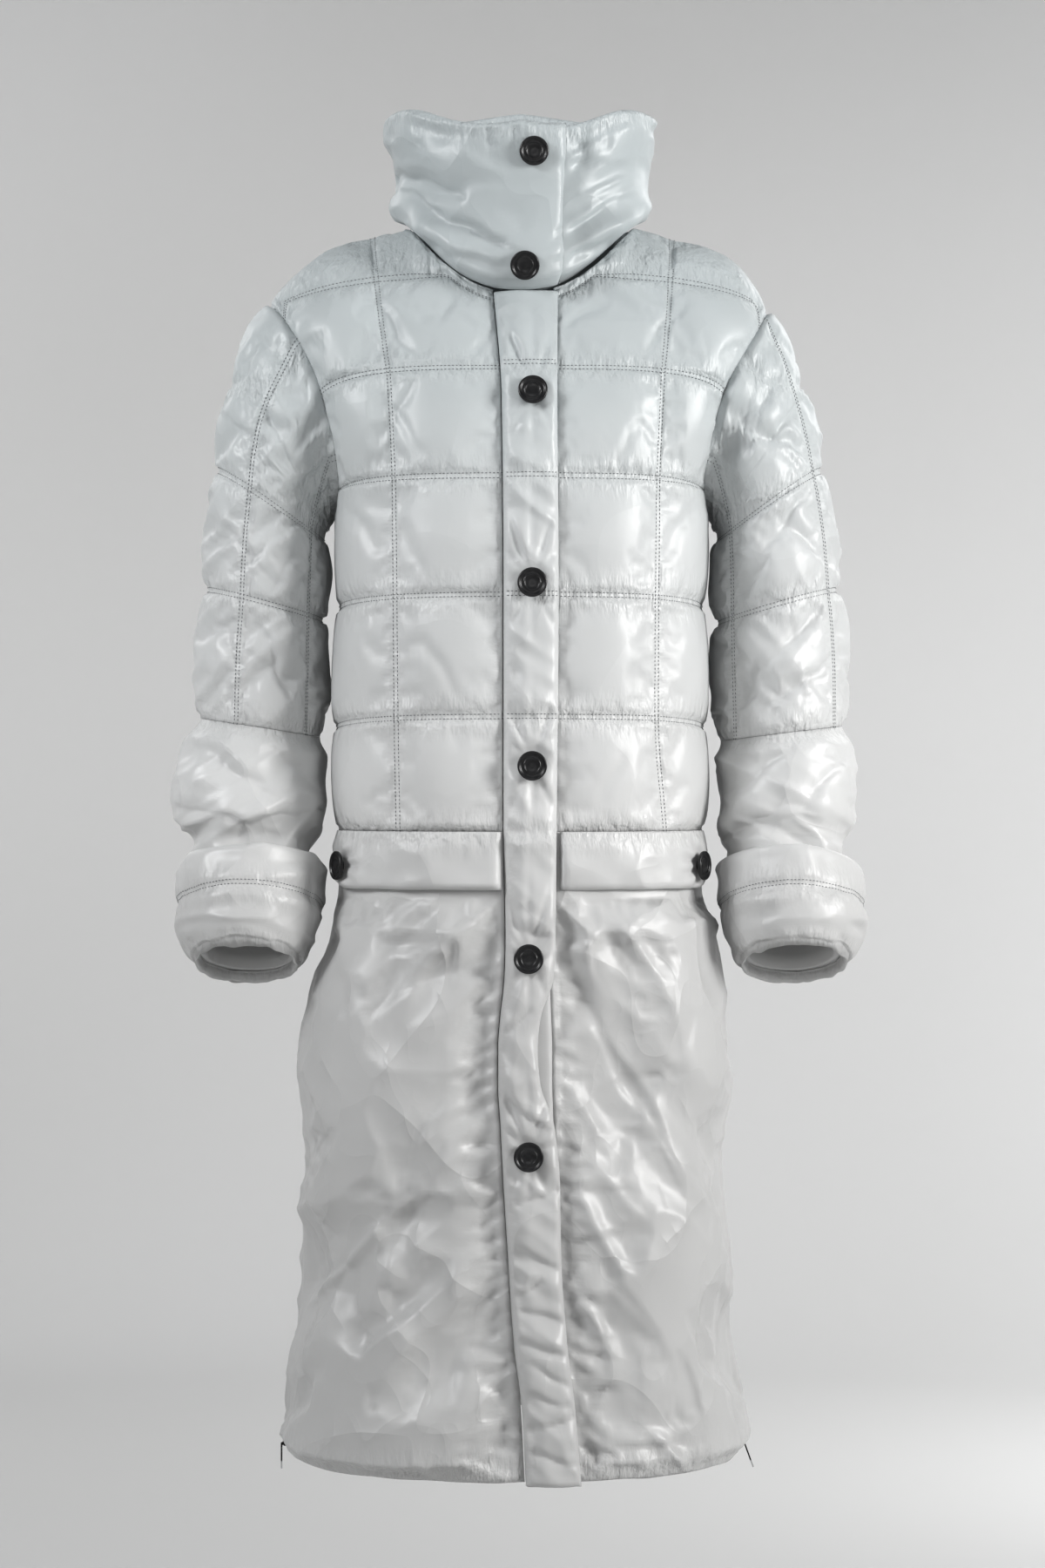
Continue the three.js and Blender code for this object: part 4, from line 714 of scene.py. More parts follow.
panels = panel_grids()
across_grid, down_grid = np.meshgrid(ACROSS, DOWN)
on_line = (np.abs(across_grid - np.round(across_grid)) < FLAT_COLUMN + 1e-6) | (
    np.abs(down_grid - np.round(down_grid)) < np.where(down_grid < 1.01, FLAT_FIRST, FLAT_ROW) + 1e-6)


# Sleeves
def ring_points(side, ring, turn):
    angle = turn / HALF_TURN * math.pi
    tilt = np.radians(ring["tilt"])[:, None]
    out = (ring["xo"] + ring["xi"])[:, None] / 2 + (ring["xo"] - ring["xi"])[:, None] / 2 * np.cos(angle)
    level = (ring["zo"] + ring["zi"])[:, None] / 2 + (ring["zo"] - ring["zi"])[:, None] / 2 * np.cos(angle)
    forward = ring["depth"][:, None] * np.sin(angle)
    return points(SIGN[side] * out, ring["y"][:, None] - forward * np.cos(tilt), level + forward * np.sin(tilt))


def between_rings(rings, down):
    last = len(rings) - 1
    i = np.minimum(np.floor(down).astype(int), last - 1)
    t = (down - i)[:, None, None]
    before, start = rings[np.maximum(i - 1, 0)], rings[i]
    stop, after = rings[i + 1], rings[np.minimum(i + 2, last)]
    leave = (stop - before) * np.where(i == 0, 1, 0.5)[:, None, None]
    arrive = (after - start) * np.where(i + 1 == last, 1, 0.5)[:, None, None]
    return ((2 * t**3 - 3 * t**2 + 1) * start + (t**3 - 2 * t**2 + t) * leave
            + (3 * t**2 - 2 * t**3) * stop + (t**3 - t**2) * arrive)


def sleeve_crown(side, turn, down):
    """How high the sleeve's quilting swells, and the distance from its level lines as a share of a quilt."""
    lines = np.array(SLEEVE_UPRIGHTS[side], float)
    around = np.concatenate([[lines[-1] - SLEEVE_TURNS], lines, [lines[0] + SLEEVE_TURNS]])
    i = np.searchsorted(around, turn, side="right") - 1
    share = (turn - around[i]) / (around[i + 1] - around[i])
    first, second, third = SLEEVE_FULL_ROWS
    start = np.minimum(SLEEVE_CAP_LINE * (1 - np.cos(turn / HALF_TURN * math.pi)), 1.9)
    level = mix(start, 2, down / first)
    level = np.where(down >= first, (down - first) / (second - first), level)
    level = np.where(down >= second, (down - second) / (third - second), level)
    level = np.where(down >= third, 1, level)
    return np.where(down == 0, 0, quilt_crown(share, FLAT_COLUMN)) * quilt_crown(level, FLAT_ROW), level, share


def armhole_edge(side, turn, sink):
    """Points of the body's armhole edge that the sleeve's columns meet."""
    row = np.where(turn <= HALF_TURN, turn, SLEEVE_TURNS - turn) / 3
    found = {}
    for face in ("front", "back"):
        edge = quilted_half(side, face, DOWN, ACROSS[-3:], plain(sink))[:, -1]
        found[face] = np.stack([np.interp(row, DOWN, edge[:, k]) for k in range(3)], axis=-1)
    return np.where((turn <= HALF_TURN)[:, None], found["front"], found["back"])


SLEEVE_COLUMNS = 150
COLUMN_TURNS = np.arange(SLEEVE_COLUMNS) * SLEEVE_TURNS / SLEEVE_COLUMNS


def sleeve_grid(side, rings, turn, down, sink_at, armhole=False):
    ring = ring_points(side, rings, turn)
    if armhole:
        start = armhole_edge(side, turn, 0)
        ring = np.concatenate([start[None], ring])
    crown = between_rings(ring, down)
    centre = crown.mean(axis=1, keepdims=True)
    normal = grid_normals(crown, centre, closed=True)
    sink = sink_at(*np.meshgrid(turn, down), crown, normal)
    grid = crown - normal * sink[..., None]
    for r in (0, -1):
        grid[r] = crown[r] + unit(centre[r] - crown[r]) * sink[r][:, None]
    if armhole:
        stitched = sink[0].max() < SLEEVE_WALL
        grid[0] = armhole_edge(side, turn, STITCH_SINK if stitched else WALL) + (SIGN[side] * GAP, 0, 0)
    return grid


def sleeve_rise(side, crown, normal):
    """Creases of a sleeve: placed ones in front, and the same ones lower and mirrored behind."""
    front = ease(0.5 - 1.5 * normal[..., 1])
    shifted = crown + (0, 0, 25)
    other = dict(SLEEVE_CREASES["left" if side == "right" else "right"])
    other["x0"], other["x1"] = -other["x0"], -other["x1"]
    mine = crease_rise(SLEEVE_CREASES[side], crown, True)
    return 1.6 * (mine * front + crease_rise(other, shifted, True) * (1 - front))


def upper_sink(side):
    def sink_at(turn, down, crown, normal):
        swell, level, share = sleeve_crown(side, turn, down)
        gathers = 1.4 * puckers(crown, line_distance(level, ROW_HEIGHT), 17, 6.5, 11)
        slant = crown + points(0, 0, 0.9 * np.abs(crown[..., 0]))
        slack = 0.8 * noise(crown, (34, 34, 24), 13) + 2.3 * ridges(slant, (60, 60, 24), 14)
        rise = (gathers + slack + sleeve_rise(side, crown, normal)) * np.minimum(swell * 1.4, 1)
        return SLEEVE_SINK * (1 - swell) - rise
    return sink_at


def lower_sink(side):
    def sink_at(turn, down, crown, normal):
        top = ease(down / 0.7)
        low = ease((LOWER_DOWN[-1] - down) / 0.5)
        gathers = 1.6 * puckers(crown, LOWER_STEP * down, 18, 6.5, 21)
        slack = 1.6 * noise(crown, (36, 36, 17), 23) + 0.7 * noise(crown, (18, 18, 10), 24)
        slant = crown + points(0, 0, 0.5 * np.abs(crown[..., 0]))
        ripple = 2.2 + 4.6 * ease((down - 2) / 2.5)
        sharp = ripple * ridges(slant, (74, 74, 27), 25) + 0.35 * ripple * ridges(slant, (34, 34, 13), 26)
        rise = (gathers + slack + sleeve_rise(side, crown, normal) + sharp) * top * low
        return SLEEVE_SINK * (1 - top) - np.clip(rise, -7, 3.5)
    return sink_at


UPPER_DOWN = np.linspace(0, 7, 127)
LOWER_DOWN = np.linspace(0, 6, 73)
LOWER_STEP = 40              # mm from ring to ring of a lower sleeve
upper = {}
for side in SIDES:
    upper[side] = sleeve_grid(side, SLEEVE_UPPER[side], COLUMN_TURNS, UPPER_DOWN, upper_sink(side), True)
    upper[side, "inner"] = sleeve_grid(
        side, SLEEVE_UPPER[side], COLUMN_TURNS[::COARSE], UPPER_DOWN[::COARSE], plain(SLEEVE_WALL), True)


def upper_held(side):
    """The points of an upper sleeve that its stitched lines hold."""
    swell, _, share = sleeve_crown(side, *np.meshgrid(COLUMN_TURNS, UPPER_DOWN))
    nearest = np.abs(share - np.round(share)) < 0.1 * SLEEVE_TURNS / SLEEVE_COLUMNS
    held = (swell < 0.22) | nearest
    held[[0, -1]] = True
    return held


whole_back = join_halves(panels["back", "right"], panels["back", "left"])
body_cloth = [
    (panels["front", "right"], on_line, False),
    (panels["front", "left"], on_line, False),
    (whole_back, join_halves(on_line, on_line), False),
]
panels["front", "right"], panels["front", "left"], whole_back = puff(body_cloth, BODY_PUFF)
upper["right"], upper["left"] = puff([(upper[side], upper_held(side), True) for side in SIDES], SLEEVE_PUFF)
for side in SIDES:
    seam_clamp(panels["front", side], "front")
seam_clamp(whole_back, "back")


# Materials
# Satin colour by height: the cooler tint towards the shoulders is the cloth's own, and the darkening towards the hem
# and towards the shoulders is painted shade.
SATIN_TINT_AND_PAINTED_SHADE = (
    (0.0, (0.49, 0.49, 0.488)), (0.33, (0.53, 0.53, 0.528)), (0.45, (0.63, 0.632, 0.63)),
    (0.68, (0.61, 0.624, 0.627)), (0.8, (0.53, 0.564, 0.572)), (0.95, (0.48, 0.52, 0.532)),
)


class Nodes:
    """Short way to add and link the nodes of one material."""

    def __init__(self, name):
        self.material = bpy.data.materials.new(name)
        self.material.use_nodes = True
        self.tree = self.material.node_tree
        self.shader = self.tree.nodes["Principled BSDF"]

    def add(self, kind, **values):
        node = self.tree.nodes.new(kind)
        for key, value in values.items():
            setattr(node, key, value)
        return node

    def link(self, source, target):
        self.tree.links.new(source, target)

    def place(self, scale):
        coordinates = self.add("ShaderNodeTexCoord")
        mapping = self.add("ShaderNodeMapping")
        mapping.inputs["Scale"].default_value = scale
        self.link(coordinates.outputs["Object"], mapping.inputs["Vector"])
        return mapping.outputs["Vector"]

    def noise(self, scale, detail=3.0, roughness=0.5):
        texture = self.add("ShaderNodeTexNoise")
        texture.inputs["Scale"].default_value = 1.0
        texture.inputs["Detail"].default_value = detail
        texture.inputs["Roughness"].default_value = roughness
        self.link(self.place(scale), texture.inputs["Vector"])
        return texture.outputs["Fac"]

    def folds(self, scale):
        """Sharp branching creases, from noise folded over on itself."""
        texture = self.add("ShaderNodeTexNoise", noise_type="RIDGED_MULTIFRACTAL")
        for key, value in (("Scale", 1.0), ("Detail", 2.0), ("Roughness", 0.5), ("Offset", 0.85), ("Gain", 1.2)):
            texture.inputs[key].default_value = value
        self.link(self.place(scale), texture.inputs["Vector"])
        return texture.outputs["Fac"]

    def ramp(self, value, *stops):
        ramp = self.add("ShaderNodeValToRGB")
        elements = ramp.color_ramp.elements
        elements[0].position, elements[0].color = stops[0][0], (*stops[0][1], 1)
        elements[1].position, elements[1].color = stops[-1][0], (*stops[-1][1], 1)
        for position, colour in stops[1:-1]:
            elements.new(position).color = (*colour, 1)
        self.link(value, ramp.inputs["Fac"])
        return ramp.outputs["Color"]

    def paint(self, colour):
        self.link(colour, self.shader.inputs["Base Color"])

    def bump(self, height, strength, distance, normal=None):
        bump = self.add("ShaderNodeBump")
        bump.inputs["Strength"].default_value = strength
        bump.inputs["Distance"].default_value = distance
        self.link(height, bump.inputs["Height"])
        if normal is not None:
            self.link(normal, bump.inputs["Normal"])
        return bump.outputs["Normal"]

    def set(self, **values):
        for key, value in values.items():
            self.shader.inputs[key.replace("_", " ")].default_value = value
        return self


def satin_cloth():
    """Pale silver satin: cooler towards the shoulders, darker towards the hem and the shoulders as painted shade, with
    a fine weave and crinkled along its seams.
    """
    nodes = Nodes("pale satin shell")
    coordinates = nodes.add("ShaderNodeTexCoord")
    split = nodes.add("ShaderNodeSeparateXYZ")
    nodes.link(coordinates.outputs["Object"], split.inputs[0])
    height = nodes.add("ShaderNodeMapRange")
    height.inputs["From Min"].default_value = -1.1
    height.inputs["From Max"].default_value = 0.05
    nodes.link(split.outputs["Z"], height.inputs["Value"])
    # Colour by height: the cloth's tint, with painted shade darkening it towards the hem and the shoulders.
    colour = nodes.ramp(height.outputs["Result"], *SATIN_TINT_AND_PAINTED_SHADE)
    shade = nodes.ramp(nodes.noise((9, 9, 6), 2.0), (0.3, (0.93, 0.93, 0.93)), (0.7, (1, 1, 1)))
    blend = nodes.add("ShaderNodeMix", data_type="RGBA", blend_type="MULTIPLY")
    blend.inputs["Factor"].default_value = 1.0
    nodes.link(colour, blend.inputs["A"])
    nodes.link(shade, blend.inputs["B"])
    nodes.paint(blend.outputs["Result"])
    rough = nodes.add("ShaderNodeMapRange")
    rough.inputs["To Min"].default_value = 0.36
    rough.inputs["To Max"].default_value = 0.5
    nodes.link(nodes.noise((60, 60, 40), 3.0), rough.inputs["Value"])
    nodes.link(rough.outputs["Result"], nodes.shader.inputs["Roughness"])
    weave = nodes.noise((2600, 2600, 900), 2.0)
    normal = nodes.bump(weave, 0.12, 0.0002)
    normal = nodes.bump(nodes.noise((30, 30, 40), 4.0, 0.5), 0.2, 0.0015, normal)
    crinkles = (
        ("gather", nodes.noise((150, 150, 48), 2.5, 0.55), 0.005),
        ("cross_gather", nodes.noise((55, 55, 110), 2.5, 0.55), 0.005),
        ("crumple", nodes.folds((11, 11, 9)), 0.006),
    )
    for name, crinkle, depth in crinkles:
        amount = nodes.add("ShaderNodeAttribute", attribute_name=name)
        height = nodes.add("ShaderNodeMath", operation="MULTIPLY")
        nodes.link(crinkle, height.inputs[0])
        nodes.link(amount.outputs["Fac"], height.inputs[1])
        normal = nodes.bump(height.outputs[0], 0.9, depth, normal)
    nodes.link(normal, nodes.shader.inputs["Normal"])
    nodes.set(Specular_IOR_Level=0.6, Sheen_Weight=0.08, Sheen_Roughness=0.4)
    return nodes.material


def mottled(name, scale, detail, tones, bump=None, **values):
    """A plain material in two close tones; bump is a scale, a strength and a depth."""
    nodes = Nodes(name)
    nodes.paint(nodes.ramp(nodes.noise(scale, detail), *tones))
    if bump:
        fine, strength, depth = bump
        nodes.link(nodes.bump(nodes.noise(fine, 2.0), strength, depth), nodes.shader.inputs["Normal"])
    return nodes.set(**values).material


def pull_metal(name, pivot, length):
    """Black pull tab with a bare silver tip, by the distance from its pin."""
    nodes = Nodes(name)
    coordinates = nodes.add("ShaderNodeTexCoord")
    away = nodes.add("ShaderNodeVectorMath", operation="DISTANCE")
    nodes.link(coordinates.outputs["Object"], away.inputs[0])
    away.inputs[1].default_value = pivot
    share = nodes.add("ShaderNodeMath", operation="DIVIDE")
    share.inputs[1].default_value = length
    nodes.link(away.outputs["Value"], share.inputs[0])
    colour = nodes.ramp(share.outputs[0], (0.66, (0.014, 0.014, 0.015)), (0.72, (0.62, 0.62, 0.63)))
    nodes.paint(colour)
    nodes.link(nodes.bump(nodes.noise((500, 500, 500), 2.0), 0.1, 0.0002), nodes.shader.inputs["Normal"])
    return nodes.set(Roughness=0.25, Metallic=0.8).material


CLOTH = satin_cloth()
BUTTON_BLACK = mottled(
    "black button lacquer", (300, 300, 300), 2.0, ((0.3, (0.006, 0.006, 0.007)), (0.7, (0.012, 0.012, 0.013))),
    ((900, 900, 900), 0.05, 0.0002), Roughness=0.34, Specular_IOR_Level=0.5, Coat_Weight=0.15, Coat_Roughness=0.2)
ZIP_BLACK = mottled(
    "black zip metal", (400, 400, 400), 3.0, ((0.3, (0.012, 0.012, 0.013)), (0.75, (0.03, 0.03, 0.032))),
    Roughness=0.3, Metallic=0.7, Specular_IOR_Level=0.5)
# The thread is coloured dark as painted shade: it stands in for the shadows of the needle holes and puckers along the
# stitched lines, where the real thread is pale.
THREAD_PAINTED_DARK = mottled(
    "sewing thread darkened as painted needle-hole shade", (800, 800, 800), 2.0, ((0.3, (0.13, 0.14, 0.145)), (0.7, (0.2, 0.21, 0.215))),
    Roughness=0.6, Sheen_Weight=0.3)
TAPE = mottled(
    "grey zip tape", (700, 700, 200), 2.0, ((0.3, (0.25, 0.26, 0.26)), (0.7, (0.36, 0.37, 0.37))),
    ((2000, 2000, 600), 0.3, 0.0003), Roughness=0.8)


def finish_cloth(piece, node):
    piece.data.materials.append(CLOTH)
    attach(piece, "coat")
    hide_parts(node)


# Body pieces
panel_gather = near_line(down_grid, np.where(down_grid < 1, FIRST_ROW_HEIGHT, ROW_HEIGHT), 15)
panel_cross = 0.5 * near_line(across_grid, COLUMN_WIDTH, 10)
for side in SIDES:
    name = f"front_{side}_quilted"
    made = shell(
        f"cloth_{name}", panels["front", side], panels["front", side, "inner"],
        gather=panel_gather, cross=panel_cross, crumple=0.2)
    finish_cloth(made, name)
made = shell(
    "cloth_back_quilted", whole_back, join_halves(panels["back", "right", "inner"], panels["back", "left", "inner"]),
    gather=join_halves(panel_gather, panel_gather), cross=join_halves(panel_cross, panel_cross), crumple=0.2)
finish_cloth(made, "back_quilted")


# Skirt
SKIRT_FIRST_ROW = 0.105
SKIRT_DOWN = np.concatenate([np.linspace(0, SKIRT_FIRST_ROW, 22), np.linspace(SKIRT_FIRST_ROW, 1, 166)[1:]])
SKIRT_ACROSS = np.linspace(0, 1, 91)
SKIRT_WIDE = 210             # mm from the fly to the side seam
ZIP_TOP = -935
ZIP_SLOT = 3.4


def skirt_surface(side, face, rows, columns):
    """Crown of half a skirt and its outward normals."""
    across, down = np.meshgrid(columns, rows)
    z = mix(BAND_Z - GAP, HEM_Z, down)
    start = section_angle(side, inner_edge(side, face, z), z)
    crown = body_point(side, face, out_at_angle(side, mix(start, math.pi / 2, across), z), z)
    return across, crown, grid_normals(crown, points(0, 0, crown[..., 2]))


def skirt_edges(side, face, across, crown, grid):
    """Brings the edges of a skirt half to its seams, its hem and the slot for the zip."""
    grid[:, 0, 0] = SIGN[side] * (inner_edge(side, face, grid[:, 0, 2]) + GAP / 2) if face == "front" else 0
    grid[0, :, 2] = BAND_Z - GAP / 2
    grid[-1, :, 2] = HEM_Z + 2.2 * noise(grid[-1], (30, 30, 4000), 36) * ease((1 - across[-1]) / 0.05)
    seam_clamp(grid, face)
    zipped = (across == 1) & (crown[..., 2] < ZIP_TOP)
    facing = -1 if face == "front" else 1
    grid[..., 1] = np.where(zipped, facing * np.maximum(np.abs(grid[..., 1]), ZIP_SLOT), grid[..., 1])
    return grid


def skirt_folds(side, face, crown):
    """Sharp slanting folds that run outwards and down from the middle of the skirt."""
    out, z = np.abs(crown[..., 0]), crown[..., 2]
    lean = 1.0 if side == "right" else 1.6
    size = math.hypot(1, lean)
    cross, down = (z + lean * out) / size, (lean * z - out) / size
    seed = {"right": 81, "left": 84}[side] + (face == "back")
    place = points(down, cross, 0)
    place = place + points(0, 14 * noise(place, (90, 90, 400), seed + 3), 0)
    return 9.5 * ridges(place, (250, 78, 400), seed) + 4.4 * ridges(place, (90, 27, 400), seed + 7)


def skirt_sink(side, face, across, crown):
    """How far half a skirt lies below its crown, without its folds, and the height of the folds."""
    z = crown[..., 2]
    flat = FLAP["drop"] + 5 if face == "front" else 0
    top = 1 - ease((BAND_Z - z - flat) / 40)
    hem = 1 - ease((z - HEM_Z) / 25)
    sides = 1 - ease((1 - across) / 0.1)
    if face == "front":
        sides = np.maximum(sides, 1 - ease(across / 0.12))
    seams = STITCH_SINK * np.maximum(np.maximum(top, sides), 0.8 * hem)
    seams = seams + (1 - rounded_edge(z - HEM_Z, 6)) * 3
    held = 1 - np.maximum(np.maximum(top, sides), hem)
    puckered = 1 - np.maximum(top, hem)
    near_side = np.minimum((1 - across) * SKIRT_WIDE, across * SKIRT_WIDE if face == "front" else SKIRT_WIDE * 5)
    gathers = 1.2 * noise(crown, (44, 44, 12), 31) * bell(near_side, 26) * ease(near_side / 5)
    if face == "back":
        gathers = gathers + 1.6 * noise(crown, (9, 9, 40), 32) * bell(z - BAND_Z, 25)
    gathers = gathers + 1.8 * noise(crown, (11, 11, 60), 33) * bell(z - HEM_Z, 40) * ease((z - HEM_Z) / 8)
    slack = 1.2 * noise(crown, (55, 55, 90), 34) + 0.6 * noise(crown, (20, 20, 34), 35)
    placed = 1.4 * crease_rise(SKIRT_CREASES[face], crown, True)
    folds = np.clip(placed + skirt_folds(side, face, crown), -16, 9) * held
    return seams - slack * held, folds + np.clip(placed, -3, 0) * (puckered - held) + gathers * (1 - top)


def pucker_rows(side, count, top, bottom, seed):
    """Short creases that leave the fly at uneven heights, lengths and slants."""
    rows = []
    for k in range(count):
        jitter = noise(points(k * 40.0, seed * 9.0, 0), (23, 23, 23), seed)
        other = noise(points(k * 31.0, seed * 5.0, 70), (19, 19, 19), seed + 1)
        z = mix(top, bottom, (k + 0.6 * float(jitter)) / count)
        x = -along(FLY, "z", "seam", z) if side == "right" else along(FLY, "z", "edge", z)
        reach = 24 + 16 * float(other)
        start, stop = SIGN[side] * (x + 2), SIGN[side] * (x + reach)
        rows.append((start, z, stop, z + 22 * float(jitter) - 5, 3.2, -3.4 - 1.6 * float(other)))
    return rows


def with_rows(creases, rows):
    added = np.array(rows).T
    return {key: np.concatenate([values, added[k]]) for k, (key, values) in enumerate(creases.items())}


FLY_PUCKERS = pucker_rows("right", 30, -665, -1195, 3) + pucker_rows("left", 30, -665, -1195, 8)
SKIRT_CREASES["front"] = with_rows(SKIRT_CREASES["front"], FLY_PUCKERS)
skirt_across, skirt_down = np.meshgrid(SKIRT_ACROSS, SKIRT_DOWN)
skirt_z = mix(BAND_Z, HEM_Z, skirt_down)
skirt_gather = bell(skirt_z - HEM_Z, 25)
skirt_side = bell((1 - skirt_across) * SKIRT_WIDE, 16)
skirt_fly = bell(skirt_across * SKIRT_WIDE, 16)
skirt_held = (skirt_across < 0.012) | (skirt_across > 0.988) | (skirt_down > 0.985)
skirts = {}
for face in ("front", "back"):
    for side in SIDES:
        across, crown, normal = skirt_surface(side, face, SKIRT_DOWN, SKIRT_ACROSS)
        sink, folds = skirt_sink(side, face, across, crown)
        skirts[face, side] = skirt_edges(side, face, across, crown, crown - normal * sink[..., None])
        skirts[face, side, "surface"] = across, crown, normal, folds
skirt_back = join_halves(skirts["back", "right"], skirts["back", "left"])
front_held = skirt_held | (skirt_z > BAND_Z - FLAP["drop"] - 12)
back_held = (skirt_across > 0.988) | (skirt_down > 0.985) | (skirt_down < 0.01)
skirt_cloth = [(skirts["front", side], front_held, False) for side in SIDES]
skirt_cloth.append((skirt_back, join_halves(back_held, back_held), False))
skirts["front", "right"], skirts["front", "left"], moved_back = puff(skirt_cloth, SKIRT_PUFF)
middle = len(SKIRT_ACROSS) - 1
skirts["back", "right"], skirts["back", "left"] = moved_back[:, middle::-1], moved_back[:, middle:]
for face in ("front", "back"):
    for side in SIDES:
        across, crown, normal, folds = skirts[face, side, "surface"]
        depth = np.sum((crown - skirts[face, side]) * normal, axis=-1) - folds
        sink, _ = skirt_sink(side, face, across, crown)
        steady = 1 - ease((1 - across) / 0.14)
        depth = mix(depth, sink - 0.4 * folds, steady)
        lean = skirts[face, side] - crown
        lean -= np.sum(lean * normal, axis=-1, keepdims=True) * normal
        grid = crown + lean - normal * np.maximum(depth, -8)[..., None]
        skirts[face, side] = skirt_edges(side, face, across, crown, grid)
skirt_back = join_halves(skirts["back", "right"], skirts["back", "left"])


def skirt_inside(outer, side, face):
    """The plain inside of half a skirt, which gives way where a fold of the outside is deep."""
    across, crown, normal, _ = skirts[face, side, "surface"]
    depth = np.sum((crown - outer) * normal, axis=-1)
    padded = np.pad(depth, 2, mode="edge")
    rows, columns = depth.shape
    deepest = np.max([padded[r:r + rows, c:c + columns] for r in range(5) for c in range(5)], axis=0)
    grid = (crown - normal * np.maximum(WALL, deepest + 3)[..., None])[::COARSE, ::COARSE]
    return skirt_edges(side, face, across[::COARSE, ::COARSE], crown[::COARSE, ::COARSE], grid)


for side in SIDES:
    seam_clamp(skirts["front", side], "front")
    inner = skirt_inside(skirts["front", side], side, "front")
    cross = 0.2 * np.maximum(skirt_side, skirt_fly)
    made = shell(
        f"cloth_skirt_front_{side}", skirts["front", side], inner, gather=skirt_gather, cross=cross, crumple=1.0)
    finish_cloth(made, f"skirt_front_{side}")
seam_clamp(skirt_back, "back")
back_inner = join_halves(
    skirt_inside(skirt_back[:, middle::-1], "right", "back"), skirt_inside(skirt_back[:, middle:], "left", "back"))
made = shell(
    "cloth_skirt_back", skirt_back, back_inner, gather=join_halves(skirt_gather, skirt_gather),
    cross=0.2 * join_halves(skirt_side, skirt_side), crumple=1.0)
finish_cloth(made, "skirt_back")


# Fly: the under-placket, and the placket that laps over it
def front_frame(x, z):
    """Point and outward normal on the front at given x and height."""
    def at(px, pz):
        right, left = (body_depth(side, "front", np.abs(px), pz) for side in SIDES)
        return points(px, -np.where(px < 0, right, left), pz)
    dx = at(x + 1, z) - at(x - 1, z)
    dz = at(x, z + 1) - at(x, z - 1)
    normal = unit(np.cross(dx, dz))
    normal = np.where(normal[..., 1:2] > 0, -normal, normal)
    return at(x, z), normal


def fly_strip(first, last, share, z, rise):
    x = mix(first, last, share)
    place, normal = front_frame(x, z)
    place[..., 1] += normal[..., 1] * rise
    return place


UNDER_WIDE = 38              # mm of the under-placket that shows


def under_placket():
    def grid(rows, columns, rise, soft):
        share, z = np.meshgrid(np.linspace(0, 1, columns), np.linspace(NECK_FRONT_Z - GAP, HEM_Z, rows))
        first = along(FLY, "z", "seam", z) + 10
        last = along(FLY, "z", "under", z) - GAP / 2
        swell = np.full(z.shape, float(rise))
        if soft:
            swell += 0.5 * noise(points(mix(first, last, share), 0, z), (14, 14, 9), 41)
            swell -= 2.2 * (1 - ease((1 - share) * UNDER_WIDE / 5))
        return fly_strip(first, last, share, z, swell)
    made = shell("cloth_under_placket", grid(280, 13, -4.4, True), grid(94, 5, -WALL, False))
    finish_cloth(made, "under_placket")


PLACKET_SLACK = 0.7
PLACKET_WIDE = 66
PLACKET_ROWS = 373
PLACKET_COLUMNS = 25
PLACKET_FOLDS = table(
    CREASE,
    (0, -690, 66, -700, 5, -2.5), (0, -795, 45, -770, 5, -3), (0, -850, 60, -880, 5, -3),
    (0, -905, 66, -893, 4, -3), (0, -955, 66, -935, 5, -4), (0, -985, 66, -1012, 5, -4.5),
    (0, -1040, 40, -1022, 4, -3.5), (10, -1048, 66, -1060, 5, -4), (0, -1078, 66, -1092, 5, -4.5),
    (20, -1100, 66, -1122, 4, -3.5), (0, -1125, 60, -1140, 5, -4), (0, -1165, 66, -1148, 5, -4),
    (0, -1180, 66, -1195, 4, -3.5),
)


# Pulls in the cloth round a placket button: lean, reach up the placket and depth
BUTTON_PULLS = (
    (-0.35, 52, 4.5), (0.3, 46, 4.0), (-0.8, 34, 2.6), (0.75, 34, 2.6), (0, 60, 2.0), (0, -34, 2.4),
    (-0.5, -32, 2.0), (0.5, -30, 2.0),
)


def quilt_line_distance(z):
    return np.min([np.abs(z - line) for line in QUILT_Z], axis=0)


def placket_rise(x, z, crown, share):
    """Height of the placket's cloth: its crown with the quilt lines, button pulls, folds and gathers."""
    from_line = quilt_line_distance(z)
    lines = bell(from_line, 9)
    top = ease((crown + 3) / 6)
    rise = crown - 4.5 * lines * top
    place = points(x, 0, z)
    for bx, bz in zip(FRONT_BUTTONS["x"], FRONT_BUTTONS["z"]):
        away = np.hypot(x - bx, z - bz)
        rise = rise - 4.5 * (1 - ease(away / 30)) * top
        for lean, reach, depth in BUTTON_PULLS:
            height = (z - bz) / reach
            line = bx + lean * (z - bz) * np.sign(reach)
            trough = bell(x - line, 4.0) * np.clip(height, 0, 1) * np.clip(1.6 - height, 0, 1)
            rise = rise - 1.4 * depth * trough * top
    skirt = ease((-640 - z) / 60)
    near_seam = share * PLACKET_WIDE
    folds = crease_rise(PLACKET_FOLDS, points(near_seam, 0, z), True)
    zigzag = noise(place, (30, 30, 13), 43) + 0.6 * noise(place + points(0, 0, 0.5 * x), (18, 18, 9), 44)
    gathers = 1.5 * noise(place, (8, 8, 34), 45) * bell(from_line, 16) * (1 - bell(from_line, 3))
    side = 1.6 * noise(place, (34, 34, 11), 47) * bell(near_seam, 18)
    side = side + 2.4 * ridges(place + points(0, 0, 0.4 * x), (50, 50, 19), 49) * bell(near_seam, 26)
    slack = 1.3 * noise(place, (22, 22, 26), 46)
    sharp = 1.8 * ridges(place + points(0, 0, 0.7 * x), (40, 40, 22), 48)
    return rise + (gathers * (1 - skirt) + slack + side + 1.3 * folds + sharp + zigzag * (0.4 + 0.5 * skirt)) * top


